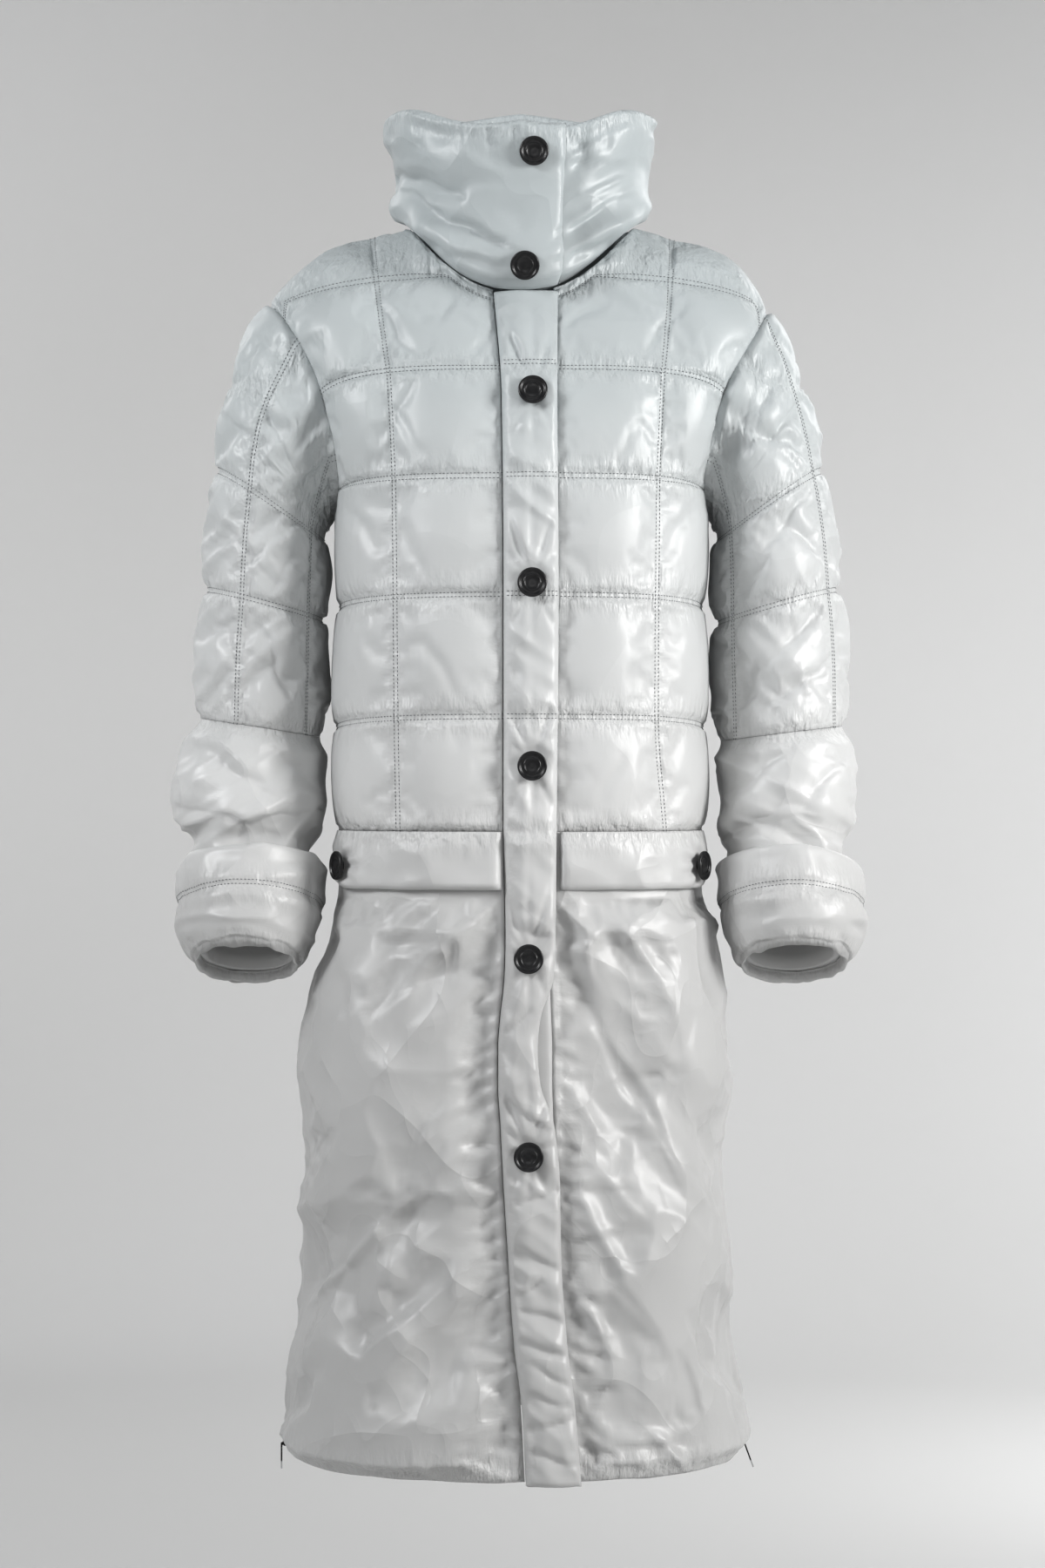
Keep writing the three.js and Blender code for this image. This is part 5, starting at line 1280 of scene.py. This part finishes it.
def placket():
    def grid(rows, columns, inner):
        share, z = np.meshgrid(np.linspace(0, 1, columns), np.linspace(NECK_FRONT_Z - GAP, HEM_Z - 3, rows))
        first = along(FLY, "z", "seam", z) + PLACKET_SLACK
        last = along(FLY, "z", "edge", z)
        under = along(PLACKET_ACROSS, "share", "under", share)
        if inner:
            return fly_strip(first, last, share, z, under)
        crown = along(PLACKET_ACROSS, "share", "crown", share)
        rise = placket_rise(mix(first, last, share), z, crown, share)
        rise = rise - 5 * (1 - rounded_edge(z - HEM_Z + 3, 6)) * ease((crown + 3) / 6)
        return fly_strip(first, last, share, z, np.maximum(rise, under + 1.2))
    outer = grid(PLACKET_ROWS, PLACKET_COLUMNS, False)
    share, z = np.meshgrid(np.linspace(0, 1, PLACKET_COLUMNS), np.linspace(NECK_FRONT_Z, HEM_Z, PLACKET_ROWS))
    made = shell(
        "cloth_placket", outer, grid(125, 9, True),
        gather=0.8 * bell(quilt_line_distance(z), 14), cross=0.25 * bell(share, 0.25), crumple=0.6)
    finish_cloth(made, "placket")
    return outer


under_placket()
placket_grid = placket()


# Hip flaps hang from the band seam over the skirt
def hip_flap(side):
    def grid(rows, columns, inner):
        across, down = np.meshgrid(np.linspace(0, 1, columns), np.linspace(0, 1, rows))
        z_band = BAND_Z - GAP
        corner = ease((across - 0.86) / 0.14)
        wave = noise(points(across * FLAP["wide"], 0, 0), (36, 36, 36), 55)
        z = z_band - FLAP["drop"] * down * (1 - 0.16 * corner) - 1.5 * wave * down**3
        start_out = inner_edge(side, "front", z) + 2 if side == "right" else along(FLY, "z", "edge", z) + 4
        start = section_angle(side, start_out, z)
        angle = mix(start, math.pi / 2 - math.radians(FLAP["inset"]), across)
        crown = body_point(side, "front", out_at_angle(side, angle, z), z)
        normal = grid_normals(crown, points(0, 0, crown[..., 2]))
        if inner:
            return crown + normal * (FLAP["clear"] - STITCH_SINK)
        rise = along(FLAP_SWELL, "down", "rise", down)
        ends = rounded_edge(np.minimum(across, 1 - across) * FLAP["wide"], 7)
        gathers = 1.5 * noise(crown, (9, 9, 34), 51) * bell(down * FLAP["drop"], 20) * ease(down * 8)
        gathers = gathers + 1.2 * noise(crown, (12, 12, 30), 53) * bell((1 - down) * FLAP["drop"], 16)
        slack = 1.5 * noise(crown, (34, 34, 22), 52) * ease(down * 4)
        low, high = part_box(f"flap_button_{side}")
        dx, dz = (crown[..., k] - (low[k] + high[k]) / 2 / MM for k in (0, 2))
        away = np.hypot(dx, dz)
        pulled = 3 * (1 - ease(away / 26)) + 1.6 * np.cos(9 * np.arctan2(dz, dx)) * bell(away - 19, 9)
        slack = slack + 1.5 * ridges(crown, (44, 44, 30), 54) * ease(down * 3) - pulled
        at_ends = FLAP["clear"] - STITCH_SINK + 1.5
        return crown + normal * mix(at_ends, rise + gathers + slack, ends)[..., None]
    outer = grid(25, 79, False)
    down = np.broadcast_to(np.linspace(0, 1, 25)[:, None], outer.shape[:2])
    made = shell(
        f"cloth_hip_flap_{side}", outer, grid(9, 27, True), gather=bell(down * FLAP["drop"], 15), crumple=0.5)
    finish_cloth(made, f"hip_flap_{side}")


for side in SIDES:
    hip_flap(side)


# Collar: one strip that starts under the left front, goes round the neck and laps over its own start
def neck_points(turn):
    angle = np.radians(turn)
    out = NECK_HALF * np.abs(np.sin(angle))
    front, right = np.cos(angle) > 0, np.sin(angle) < 0
    z = np.where(front, neck_height("front", out), neck_height("back", out))
    depth = {(side, face): body_depth(side, face, out, z) for side in SIDES for face in ("front", "back")}
    ahead = np.where(right, depth["right", "front"], depth["left", "front"])
    behind = np.where(right, depth["right", "back"], depth["left", "back"])
    return points(np.where(right, -out, out), np.where(front, -ahead, behind), z)


def collar_point(turn, rise, sink):
    """Place on the collar: turn in degrees round the neck, rise as a share of its height there."""
    neck = neck_points(turn)
    near = np.abs((turn + 180) % 360 - 180)
    height = along(COLLAR_HEIGHT, "turn", "height", near)
    angle = np.radians(turn)
    outward = unit(points(np.sin(angle), -1.12 * np.cos(angle), 0))
    over = ease((turn - (360 - COLLAR["lap_ease"])) / (COLLAR["lap_ease"] - 9))
    under = 1 - ease((turn - 20) / COLLAR["lap_ease"])
    out = along(COLLAR_STAND, "up", "out", rise) + COLLAR["lap"] * (over - under) - sink
    place = neck + outward * out[..., None]
    place[..., 2] += 2 * GAP + rise * height
    return place


COLLAR_EDGE = 0.955          # share of the collar's height where its top edge begins to round over


def loop_faces(rows, columns, closed):
    """Faces of a grid whose rows join up into a loop, and whose columns do too where it is closed."""
    faces = []
    for r in range(rows):
        a, b = r * columns, (r + 1) % rows * columns
        for c in range(columns if closed else columns - 1):
            d = (c + 1) % columns
            faces.append((a + c, b + c, b + d, a + d))
    return faces


def collar():
    half_thick = COLLAR["thick"] / 2
    edge = np.linspace(0, math.pi / 2, 9)[1:]
    main = np.linspace(0, 1, 46)
    turns = np.linspace(COLLAR["start"], COLLAR["end"], 253)
    rise_share = np.concatenate([main * COLLAR_EDGE, COLLAR_EDGE + (1 - COLLAR_EDGE) * np.sin(edge)])
    bulge = np.concatenate([np.ones(len(main)), np.cos(edge)])
    turn, rise = np.meshgrid(turns, rise_share)
    from_end = np.minimum(turn - COLLAR["start"], COLLAR["end"] - turn)
    rounded = rounded_edge(from_end, 3.6)
    half = half_thick * np.maximum(bulge[:, None] * rounded, 0.06)
    foot = 2 * (1 - ease(rise * 14)) - 3.2 * ease(rise * 14) * (1 - ease((rise - 0.12) / 0.22))
    crown = collar_point(turn, rise, np.zeros(turn.shape))
    front = np.cos(np.radians(turn)) > 0
    placed = {face: crease_rise(COLLAR_CREASES[face], crown, True) for face in ("front", "back")}
    folds = 2.3 * np.where(front, placed["front"], placed["back"])
    lean = np.where(crown[..., 0] < 0, 0.55, -0.6) * crown[..., 0]
    slant = crown + points(0, 0, lean)
    folds = folds + 3.4 * ridges(slant, (90, 90, 30), 66) + 1.4 * ridges(slant, (46, 46, 15), 67)
    covered = ease((turn - 20) / 8)
    near_top = (1 - rise) * COLLAR["height"]
    gathers = 1.2 * noise(crown, (9, 9, 40), 61) * bell(near_top, 18)
    gathers = gathers + 1.1 * noise(crown, (7, 7, 30), 62) * bell(rise * COLLAR["height"], 16) * ease(rise * 14)
    slack = 2.0 * noise(crown, (60, 60, 22), 63) + 0.9 * noise(crown, (26, 26, 12), 64)
    detail = folds * covered + (gathers + slack) * np.where(turn < 20, 0.3, 1)
    detail = np.clip(detail * ease(rise * 12) * bulge[:, None] * rounded, -8, 2.4)
    outer = collar_point(turn, rise, half_thick - half + foot - detail)
    inside_slack = 1.4 * noise(crown, (9, 9, 50), 65) * bell(near_top, 26) * bulge[:, None] * rounded
    inner_sink = half_thick + half + inside_slack - 3 * (1 - ease(rise * 9))
    inner = collar_point(turn, rise, inner_sink)
    profile = np.concatenate([outer, inner[::-1]])
    rows, columns = profile.shape[:2]
    faces = loop_faces(rows, columns, False)
    faces.append(tuple(r * columns for r in range(rows)))
    faces.append(tuple(r * columns + columns - 1 for r in reversed(range(rows))))
    near = np.concatenate([bell(near_top, 16), bell(near_top[::-1], 22)])
    maps = {"gather": near.reshape(-1), "crumple": np.full(near.size, 0.7)}
    made = mesh_object("cloth_collar", profile.reshape(-1, 3), faces, maps)
    finish_cloth(made, "collar")


collar()


# Sleeves and cuffs
def sleeve_gather(side):
    _, level, share = sleeve_crown(side, *np.meshgrid(COLUMN_TURNS, UPPER_DOWN))
    return near_line(level, ROW_HEIGHT, 15), 0.7 * near_line(share, SLEEVE_QUILT, 12)


SLEEVE_QUILT = 120           # mm across a quilt of the sleeve
for side in SIDES:
    made = shell(f"cloth_sleeve_upper_{side}", upper[side], upper[side, "inner"], True, *sleeve_gather(side), 0.5)
    finish_cloth(made, f"sleeve_upper_{side}")
    rings = {key: values.copy() for key, values in SLEEVE_LOWER[side].items()}
    rings["zo"][0] -= GAP
    rings["zi"][0] -= GAP
    outer = sleeve_grid(side, rings, COLUMN_TURNS, LOWER_DOWN, lower_sink(side))
    inner = sleeve_grid(side, rings, COLUMN_TURNS[::COARSE], LOWER_DOWN[::COARSE], plain(SLEEVE_WALL))
    down = np.meshgrid(COLUMN_TURNS, LOWER_DOWN)[1]
    made = shell(f"cloth_sleeve_lower_{side}", outer, inner, True, gather=bell(down * LOWER_STEP, 18), crumple=0.9)
    finish_cloth(made, f"sleeve_lower_{side}")


CUFF_FINE = 5                # rings for each place on a cuff's section
CUFF_LINE = 4.3              # place of its stitched line


def cuff(side):
    """A folded band: its section is a closed loop of rings, from the free edge down, under and up inside."""
    rings = ring_points(side, CUFF[side], COLUMN_TURNS)
    last = len(rings) - 1

    def wall(down, sink):
        crown = between_rings(rings, np.array([max(down - 0.02, 0), down, min(down + 0.02, last)]))
        normal = grid_normals(crown, crown.mean(axis=1, keepdims=True), closed=True)[1]
        return crown[1] - normal * sink

    edge = rings[last]
    inward = unit(edge.mean(axis=0) - edge)

    def lip(reach, lift):
        return edge + inward * reach + (0, 0, lift)

    loop = [wall(*at) for at in ((0, 4.5), (0.12, 1.2), (0.5, 0), (1, 0), (1.5, 0), (2.1, 0), (2.7, 0), (3.3, 0))]
    loop += [lip(*at) for at in ((0.6, 0), (3.4, -2), (7, -2.6), (10.4, -1.4), (11.6, 2.6), (10.8, 6.4), (9.4, 9))]
    loop += [wall(down, CUFF_WALL) for down in (3.0, 2.4, 1.5, 0.6)] + [wall(0.1, CUFF_WALL - 1)]
    count = len(loop)
    rows = []
    for i in range(count):
        p0, p1, p2, p3 = (loop[(i + k) % count] for k in (-1, 0, 1, 2))
        for k in range(CUFF_FINE):
            t = k / CUFF_FINE
            rows.append(0.5 * (2 * p1 + (p2 - p0) * t + (2 * p0 - 5 * p1 + 4 * p2 - p3) * t**2
                               + (3 * p1 - p0 - 3 * p2 + p3) * t**3))
    grid = np.array(rows)
    place = np.arange(len(grid)) / CUFF_FINE
    outside = ease(place / 1.2) * ease((7.6 - place) / 1.2)
    stitched = bell(place - CUFF_LINE, 0.22)
    normal = grid_normals(grid, grid.mean(axis=1, keepdims=True), closed=True)
    by_line = bell(place - CUFF_LINE, 1.4)[:, None]
    slack = 2.2 * noise(grid, (34, 34, 20), 71) + 1.5 * noise(grid, (10, 10, 34), 72) * by_line
    slack = slack + 1.8 * ridges(grid, (52, 52, 24), 74)
    under = ease((place - 7) / 1) * ease((15 - place) / 1)
    gathers = 2.2 * noise(grid, (11, 11, 30), 73) * under[:, None]
    tuck = 3.2 * ease((place - 4.4) / 2) * ease((9 - place) / 3)
    shift = slack * outside[:, None] - (3.5 * stitched + tuck)[:, None] + gathers
    ahead = ease(0.5 - normal[..., 1]) * ease((place[:, None] - 4.4) / 2.5) * ease((15 - place[:, None]) / 3)
    grid = grid + normal * shift[..., None] + points(0, 0, 9 * ahead)
    near = 0.5 * np.maximum(bell(place - CUFF_LINE, 0.9), under)
    gather = np.broadcast_to(near[:, None], grid.shape[:2])
    maps = {"gather": gather.reshape(-1), "crumple": np.full(gather.size, 0.6)}
    made = mesh_object(f"cloth_cuff_{side}", grid.reshape(-1, 3), loop_faces(*grid.shape[:2], True), maps)
    finish_cloth(made, f"cuff_{side}")
    return grid, int(CUFF_LINE * CUFF_FINE)


cuffs = {side: cuff(side) for side in SIDES}


# Stitching: double rows along the quilting lines and seams
STITCH = {"length": 2.7, "pitch": 3.7, "thread": 0.95, "pair": 2.1, "lift": 0.3}


def lifted(grid, index, axis, side_step, closed=False, inside=None):
    """A line of points along a row or column of a grid, moved sideways on the surface and just out of it."""
    normal = grid_normals(grid, inside if inside is not None else points(0, 0, grid[..., 2]), closed=closed)
    if axis == 1:
        grid, normal = grid.swapaxes(0, 1), normal.swapaxes(0, 1)
    spacing = np.linalg.norm(np.gradient(grid, axis=0)[index], axis=-1)
    step = (side_step / np.maximum(spacing, 0.5)).mean()
    last = len(grid) - 1
    low = int(np.clip(index + math.floor(step), 0, last))
    share = float(np.clip(index + step - low, 0, 1))
    return mix(grid[low], grid[min(low + 1, last)], share) + normal[low] * STITCH["lift"]


stitch_lines = []


def double_row(grid, index, axis, closed=False, inside=None):
    for offset in (-STITCH["pair"], STITCH["pair"]):
        stitch_lines.append((lifted(grid, index, axis, offset, closed, inside), closed and axis == 0))


def nearest(values, wanted):
    return int(np.argmin(np.abs(values - wanted)))


UPRIGHT_COLUMN = INNER_POINTS - 1
for grid in (panels["front", "right"], panels["front", "left"], whole_back):
    for k in range(1, 6):
        double_row(grid, nearest(DOWN, k), 0)
for side in SIDES:
    double_row(panels["front", side], UPRIGHT_COLUMN, 1)
for offset in (-UPRIGHT_COLUMN, UPRIGHT_COLUMN):
    double_row(whole_back, len(ACROSS) - 1 + offset, 1)
for side in SIDES:
    centre = upper[side].mean(axis=1, keepdims=True)
    for ring in SLEEVE_FULL_ROWS[:2]:
        double_row(upper[side], nearest(UPPER_DOWN, ring), 0, True, centre)
    for line in SLEEVE_UPRIGHTS[side]:
        double_row(upper[side], nearest(COLUMN_TURNS, line), 1, True, centre)
    grid, row = cuffs[side]
    double_row(grid, row, 0, True, grid.mean(axis=1, keepdims=True))
placket_rows = np.linspace(NECK_FRONT_Z - GAP, HEM_Z - 3, PLACKET_ROWS)
for line in QUILT_Z[1:-1]:
    double_row(placket_grid[:, 2:-1], nearest(placket_rows, line), 0)


def stitch_tree(name):
    """Geometry Nodes: small spindles of thread at even steps along every line of points."""
    tree = bpy.data.node_groups.new(name, "GeometryNodeTree")
    face = tree.interface
    face.new_socket("Lines", in_out="INPUT", socket_type="NodeSocketGeometry")
    sockets = {
        key: face.new_socket(key, in_out="INPUT", socket_type=f"NodeSocket{kind}")
        for key, kind in (("Pitch", "Float"), ("Length", "Float"), ("Thickness", "Float"), ("Finish", "Material"))
    }
    face.new_socket("Geometry", in_out="OUTPUT", socket_type="NodeSocketGeometry")
    add = tree.nodes.new
    given, result = add("NodeGroupInput"), add("NodeGroupOutput")
    curve = add("GeometryNodeMeshToCurve")
    spots = add("GeometryNodeCurveToPoints")
    spots.mode = "LENGTH"
    spindle = add("GeometryNodeMeshUVSphere")
    for key, value in (("Segments", 4), ("Rings", 2), ("Radius", 0.5)):
        spindle.inputs[key].default_value = value
    size = add("ShaderNodeCombineXYZ")
    shape = add("GeometryNodeTransform")
    placed = add("GeometryNodeInstanceOnPoints")
    real = add("GeometryNodeRealizeInstances")
    painted = add("GeometryNodeSetMaterial")
    for source, out, target, into in (
        (given, "Lines", curve, "Mesh"), (curve, "Curve", spots, "Curve"), (given, "Pitch", spots, "Length"),
        (given, "Thickness", size, "X"), (given, "Thickness", size, "Y"), (given, "Length", size, "Z"),
        (spindle, "Mesh", shape, "Geometry"), (size, "Vector", shape, "Scale"), (spots, "Points", placed, "Points"),
        (shape, "Geometry", placed, "Instance"), (spots, "Rotation", placed, "Rotation"),
        (placed, "Instances", real, "Geometry"), (real, "Geometry", painted, "Geometry"),
        (given, "Finish", painted, "Material"), (painted, "Geometry", result, "Geometry"),
    ):
        tree.links.new(source.outputs[out], target.inputs[into])
    return tree, {key: socket.identifier for key, socket in sockets.items()}


def applied(source, name):
    """A plain mesh from an object with Geometry Nodes, and the source removed."""
    evaluated = source.evaluated_get(bpy.context.evaluated_depsgraph_get())
    mesh = bpy.data.meshes.new_from_object(evaluated)
    bpy.data.objects.remove(source)
    mesh.name = name
    return new_object(name, mesh)


def lines_mesh(lines):
    vertices, edges = [], []
    count = 0
    for line, closed in lines:
        n = len(line)
        vertices.append(line)
        edges += [(count + k, count + k + 1) for k in range(n - 1)]
        if closed:
            edges.append((count + n - 1, count))
        count += n
    mesh = bpy.data.meshes.new("stitch lines")
    mesh.from_pydata((np.concatenate(vertices) * MM).tolist(), edges, [])
    return new_object("stitch lines", mesh)


STITCH_TREE, STITCH_SOCKETS = stitch_tree("Stitches along lines")


def repeat_along(lines, name, pitch, length, thick, material):
    source = lines_mesh(lines)
    modifier = source.modifiers.new("Repeat", "NODES")
    modifier.node_group = STITCH_TREE
    for key, value in (("Pitch", pitch * MM), ("Length", length * MM), ("Thickness", thick * MM), ("Finish", material)):
        modifier[STITCH_SOCKETS[key]] = value
    return applied(source, name)


# The stitches carry the thread coloured dark as painted needle-hole shade.
stitching = repeat_along(stitch_lines, "stitching", STITCH["pitch"], STITCH["length"], STITCH["thread"], THREAD_PAINTED_DARK)
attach(stitching, "coat")


# Buttons: a lacquered disc with a raised rim and a plain ring on its face
BUTTON_TOP = 8.0             # mm from the cloth to the top of the rim


def button_profile(radius):
    face = [
        (0.5, 0.15), (1.2, 0), (1.9, 0.1), (2.5, 0.7), (3.0, 1.5), (5.6, 1.7), (6.0, 1.3), (6.5, 1.15),
        (7.0, 1.3), (7.4, 1.7),
    ]
    return [
        (0, 0), (5, 0), (5, 4.0), (radius - 2, 4.0), (radius - 0.7, 4.4), (radius, 5.2), (radius, BUTTON_TOP - 0.8),
        *((radius - inward, BUTTON_TOP - low) for inward, low in face),
        (2.5, BUTTON_TOP - 1.6), (0, BUTTON_TOP - 1.55),
    ]


def seated_button(number_name, piece_name):
    """A finer button where the frame's plain one is seated."""
    source = frame["nodes"][number_name]
    place = np.array([v.co for v in source.data.vertices]) / MM
    middle = place.mean(axis=0)
    spread = place - middle
    axis = np.linalg.svd(spread, full_matrices=False)[2][2]
    if axis[1] > 0:
        axis = -axis
    along_axis = spread @ axis
    front_ring = place[along_axis > along_axis.max() - 0.5]
    centre = front_ring.mean(axis=0) - axis * BUTTON_TOP
    radius = np.linalg.norm(front_ring - front_ring.mean(axis=0), axis=1).max()
    sides = 48
    profile = button_profile(radius)
    turned = unit(np.cross((0, 0, 1), axis))
    upward = np.cross(axis, turned)
    vertices, faces = [centre + axis * profile[0][1]], []
    for r, h in profile[1:-1]:
        for k in range(sides):
            angle = 2 * math.pi * k / sides
            vertices.append(centre + axis * h + turned * r * math.cos(angle) + upward * r * math.sin(angle))
    vertices.append(centre + axis * profile[-1][1])
    end = len(vertices) - 1
    rings = len(profile) - 2
    for k in range(sides):
        d = (k + 1) % sides
        faces.append((0, 1 + d, 1 + k))
        for r in range(rings - 1):
            a, b = 1 + r * sides, 1 + (r + 1) * sides
            faces.append((a + k, a + d, b + d, b + k))
        a = 1 + (rings - 1) * sides
        faces.append((a + k, a + d, end))
    made = mesh_object(piece_name, vertices, faces)
    made.data.materials.append(BUTTON_BLACK)
    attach(made, "coat")
    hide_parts(number_name)


for number in range(1, 8):
    seated_button(f"button_{number}", f"lacquer_button_{number}")
for side in SIDES:
    seated_button(f"flap_button_{side}", f"lacquer_flap_button_{side}")


# Side hem zips: tape, teeth, slider and pull tab
PULL_LENGTH = 24


def zip_parts(side):
    low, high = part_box(f"zip_tape_{side}")
    rows = 60
    z = np.linspace(high[2], low[2], rows) / MM
    out = along(BODY, "z", side, z) - 9.2
    across = np.array([-3, -2.4, -1.2, -0.5, 0, 0.5, 1.2, 2.4, 3])
    ridge = np.array([0, 0.1, 0.1, 0.5, 0.2, 0.5, 0.1, 0.1, 0])
    outer = points(SIGN[side] * (out[:, None] + ridge), across, z[:, None])
    inner = points(SIGN[side] * (out[:, None] - 1.6), across, z[:, None])
    vertices = np.concatenate([outer.reshape(-1, 3), inner.reshape(-1, 3)])
    columns, behind = len(across), rows * len(across)
    faces = []
    for r in range(rows - 1):
        for c in range(columns - 1):
            a = r * columns + c
            faces.append((a, a + columns, a + columns + 1, a + 1))
            faces.append((behind + a, behind + a + 1, behind + a + columns + 1, behind + a + columns))
    for c in range(columns - 1):
        low_row = (rows - 1) * columns
        faces.append((c, c + 1, behind + c + 1, behind + c))
        faces.append((low_row + c, behind + low_row + c, behind + low_row + c + 1, low_row + c + 1))
    for r in range(rows - 1):
        a = r * columns
        b = a + columns - 1
        faces.append((a, behind + a, behind + a + columns, a + columns))
        faces.append((b, b + columns, behind + b + columns, behind + b))
    tape = mesh_object(f"woven_zip_tape_{side}", vertices, faces)
    tape.data.materials.append(TAPE)
    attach(tape, "coat")
    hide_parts(f"zip_tape_{side}")
    lines = [(points(SIGN[side] * (out + 0.9), np.full(rows, y), z), False) for y in (-0.75, 0.75)]
    teeth = repeat_along(lines, f"zip_teeth_{side}", 1.9, 1.5, 1.7, ZIP_BLACK)
    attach(teeth, "coat")
    slider = frame["nodes"][f"zip_slider_{side}"]
    pull = frame["nodes"][f"zip_pull_{side}"]
    pin = next(joint for joint in frame["joints"] if joint["name"] == f"pull_{side}_swing")
    tipped = pull_metal(f"zip pull metal {side}", pin["pos_m"], PULL_LENGTH * MM)
    for node, material in ((slider, ZIP_BLACK), (pull, tipped)):
        node.data.materials.clear()
        node.data.materials.append(material)


for side in SIDES:
    zip_parts(side)


# Studio: pale floor and backdrop, soft lights, and a camera at the photograph's place
CAMERA = {"x": 0.0017, "distance": 3.2, "height": -0.555, "lens": 73.6, "sensor": 36.0}
FLOOR_Z = -1.95


def studio():
    """A round sweep: flat floor, a cove and an upright wall, the same on every side of the coat."""
    radius, cove, height, sides = 6.0, 1.6, 6.0, 64
    profile = [(0.0, FLOOR_Z)]
    for k in range(13):
        angle = k / 12 * math.pi / 2
        profile.append((radius - cove + cove * math.sin(angle), FLOOR_Z + cove * (1 - math.cos(angle))))
    profile.append((radius, height))
    vertices = [(0, 0, FLOOR_Z)]
    round_turn = [2 * math.pi * k / sides for k in range(sides)]
    for reach, z in profile[1:]:
        vertices += [(reach * math.cos(angle), reach * math.sin(angle), z) for angle in round_turn]
    faces = [(0, 1 + k, 1 + (k + 1) % sides) for k in range(sides)]
    for ring in range(len(profile) - 2):
        start = 1 + ring * sides
        for k in range(sides):
            beside = (k + 1) % sides
            faces.append((start + k, start + sides + k, start + sides + beside, start + beside))
    mesh = bpy.data.meshes.new("studio sweep")
    mesh.from_pydata(vertices, [], faces)
    mesh.update()
    mesh.shade_smooth()
    floor = new_object("studio_sweep", mesh)
    floor.data.materials.append(mottled(
        "pale studio paper", (0.4, 0.4, 0.4), 1.0, ((0.3, (0.60, 0.60, 0.597)), (0.7, (0.66, 0.66, 0.66))),
        Roughness=0.95, Specular_IOR_Level=0.1))


def area_light(name, place, target, size, power, colour=(1, 1, 1)):
    data = bpy.data.lights.new(name, "AREA")
    data.shape = "RECTANGLE"
    data.size, data.size_y = size
    data.energy = power
    data.color = colour
    lamp = new_object(name, data)
    lamp.location = place
    direction = np.array(target) - np.array(place)
    heading = math.atan2(direction[1], direction[0]) - math.pi / 2
    rise = math.atan2(direction[2], math.hypot(direction[0], direction[1]))
    lamp.rotation_euler = (math.pi / 2 + rise, 0, heading)


def lighting():
    area_light("key", (3.0, -1.6, 0.3), (0, 0, -0.85), (0.8, 1.2), 88, (1, 0.995, 0.985))
    area_light("left", (-2.9, -1.9, 1.3), (0, 0, -0.3), (0.8, 1.2), 68, (0.985, 0.993, 1))
    area_light("front", (0.0, -4.6, 0.9), (0, 0, -0.6), (2.0, 2.0), 15)
    area_light("top", (0.3, -0.7, 2.3), (0, 0.1, -0.3), (1.6, 1.2), 5, (0.98, 0.99, 1))
    area_light("backdrop right", (2.1, 2.6, 0.0), (1.5, 5.4, -1.2), (1.2, 1.2), 52)
    area_light("backdrop left", (-2.1, 2.6, 0.9), (-1.3, 5.6, -0.2), (1.2, 1.2), 21)
    area_light("behind right", (2.2, 2.6, 1.2), (0, 0, -0.5), (1.0, 1.4), 16)
    area_light("behind left", (-2.4, 2.4, 1.4), (0, 0, -0.4), (1.0, 1.4), 12)
    world = bpy.data.worlds.new("soft room")
    world.use_nodes = True
    world.node_tree.nodes["Background"].inputs["Color"].default_value = (0.96, 0.98, 1.0, 1)
    world.node_tree.nodes["Background"].inputs["Strength"].default_value = 0.22
    bpy.context.scene.world = world


def camera():
    data = bpy.data.cameras.new("camera")
    data.sensor_width = CAMERA["sensor"]
    data.sensor_height = CAMERA["sensor"]
    data.sensor_fit = "AUTO"
    data.lens = CAMERA["lens"]
    data.clip_end = 50
    viewer = new_object("camera", data)
    viewer.location = (CAMERA["x"], -CAMERA["distance"], CAMERA["height"])
    viewer.rotation_euler = (math.pi / 2, 0, 0)
    bpy.context.scene.camera = viewer


studio()
lighting()
camera()
bpy.context.scene.view_settings.view_transform = "Standard"
bpy.context.scene.view_settings.look = "Medium High Contrast"
bpy.context.scene.frame_set(1)
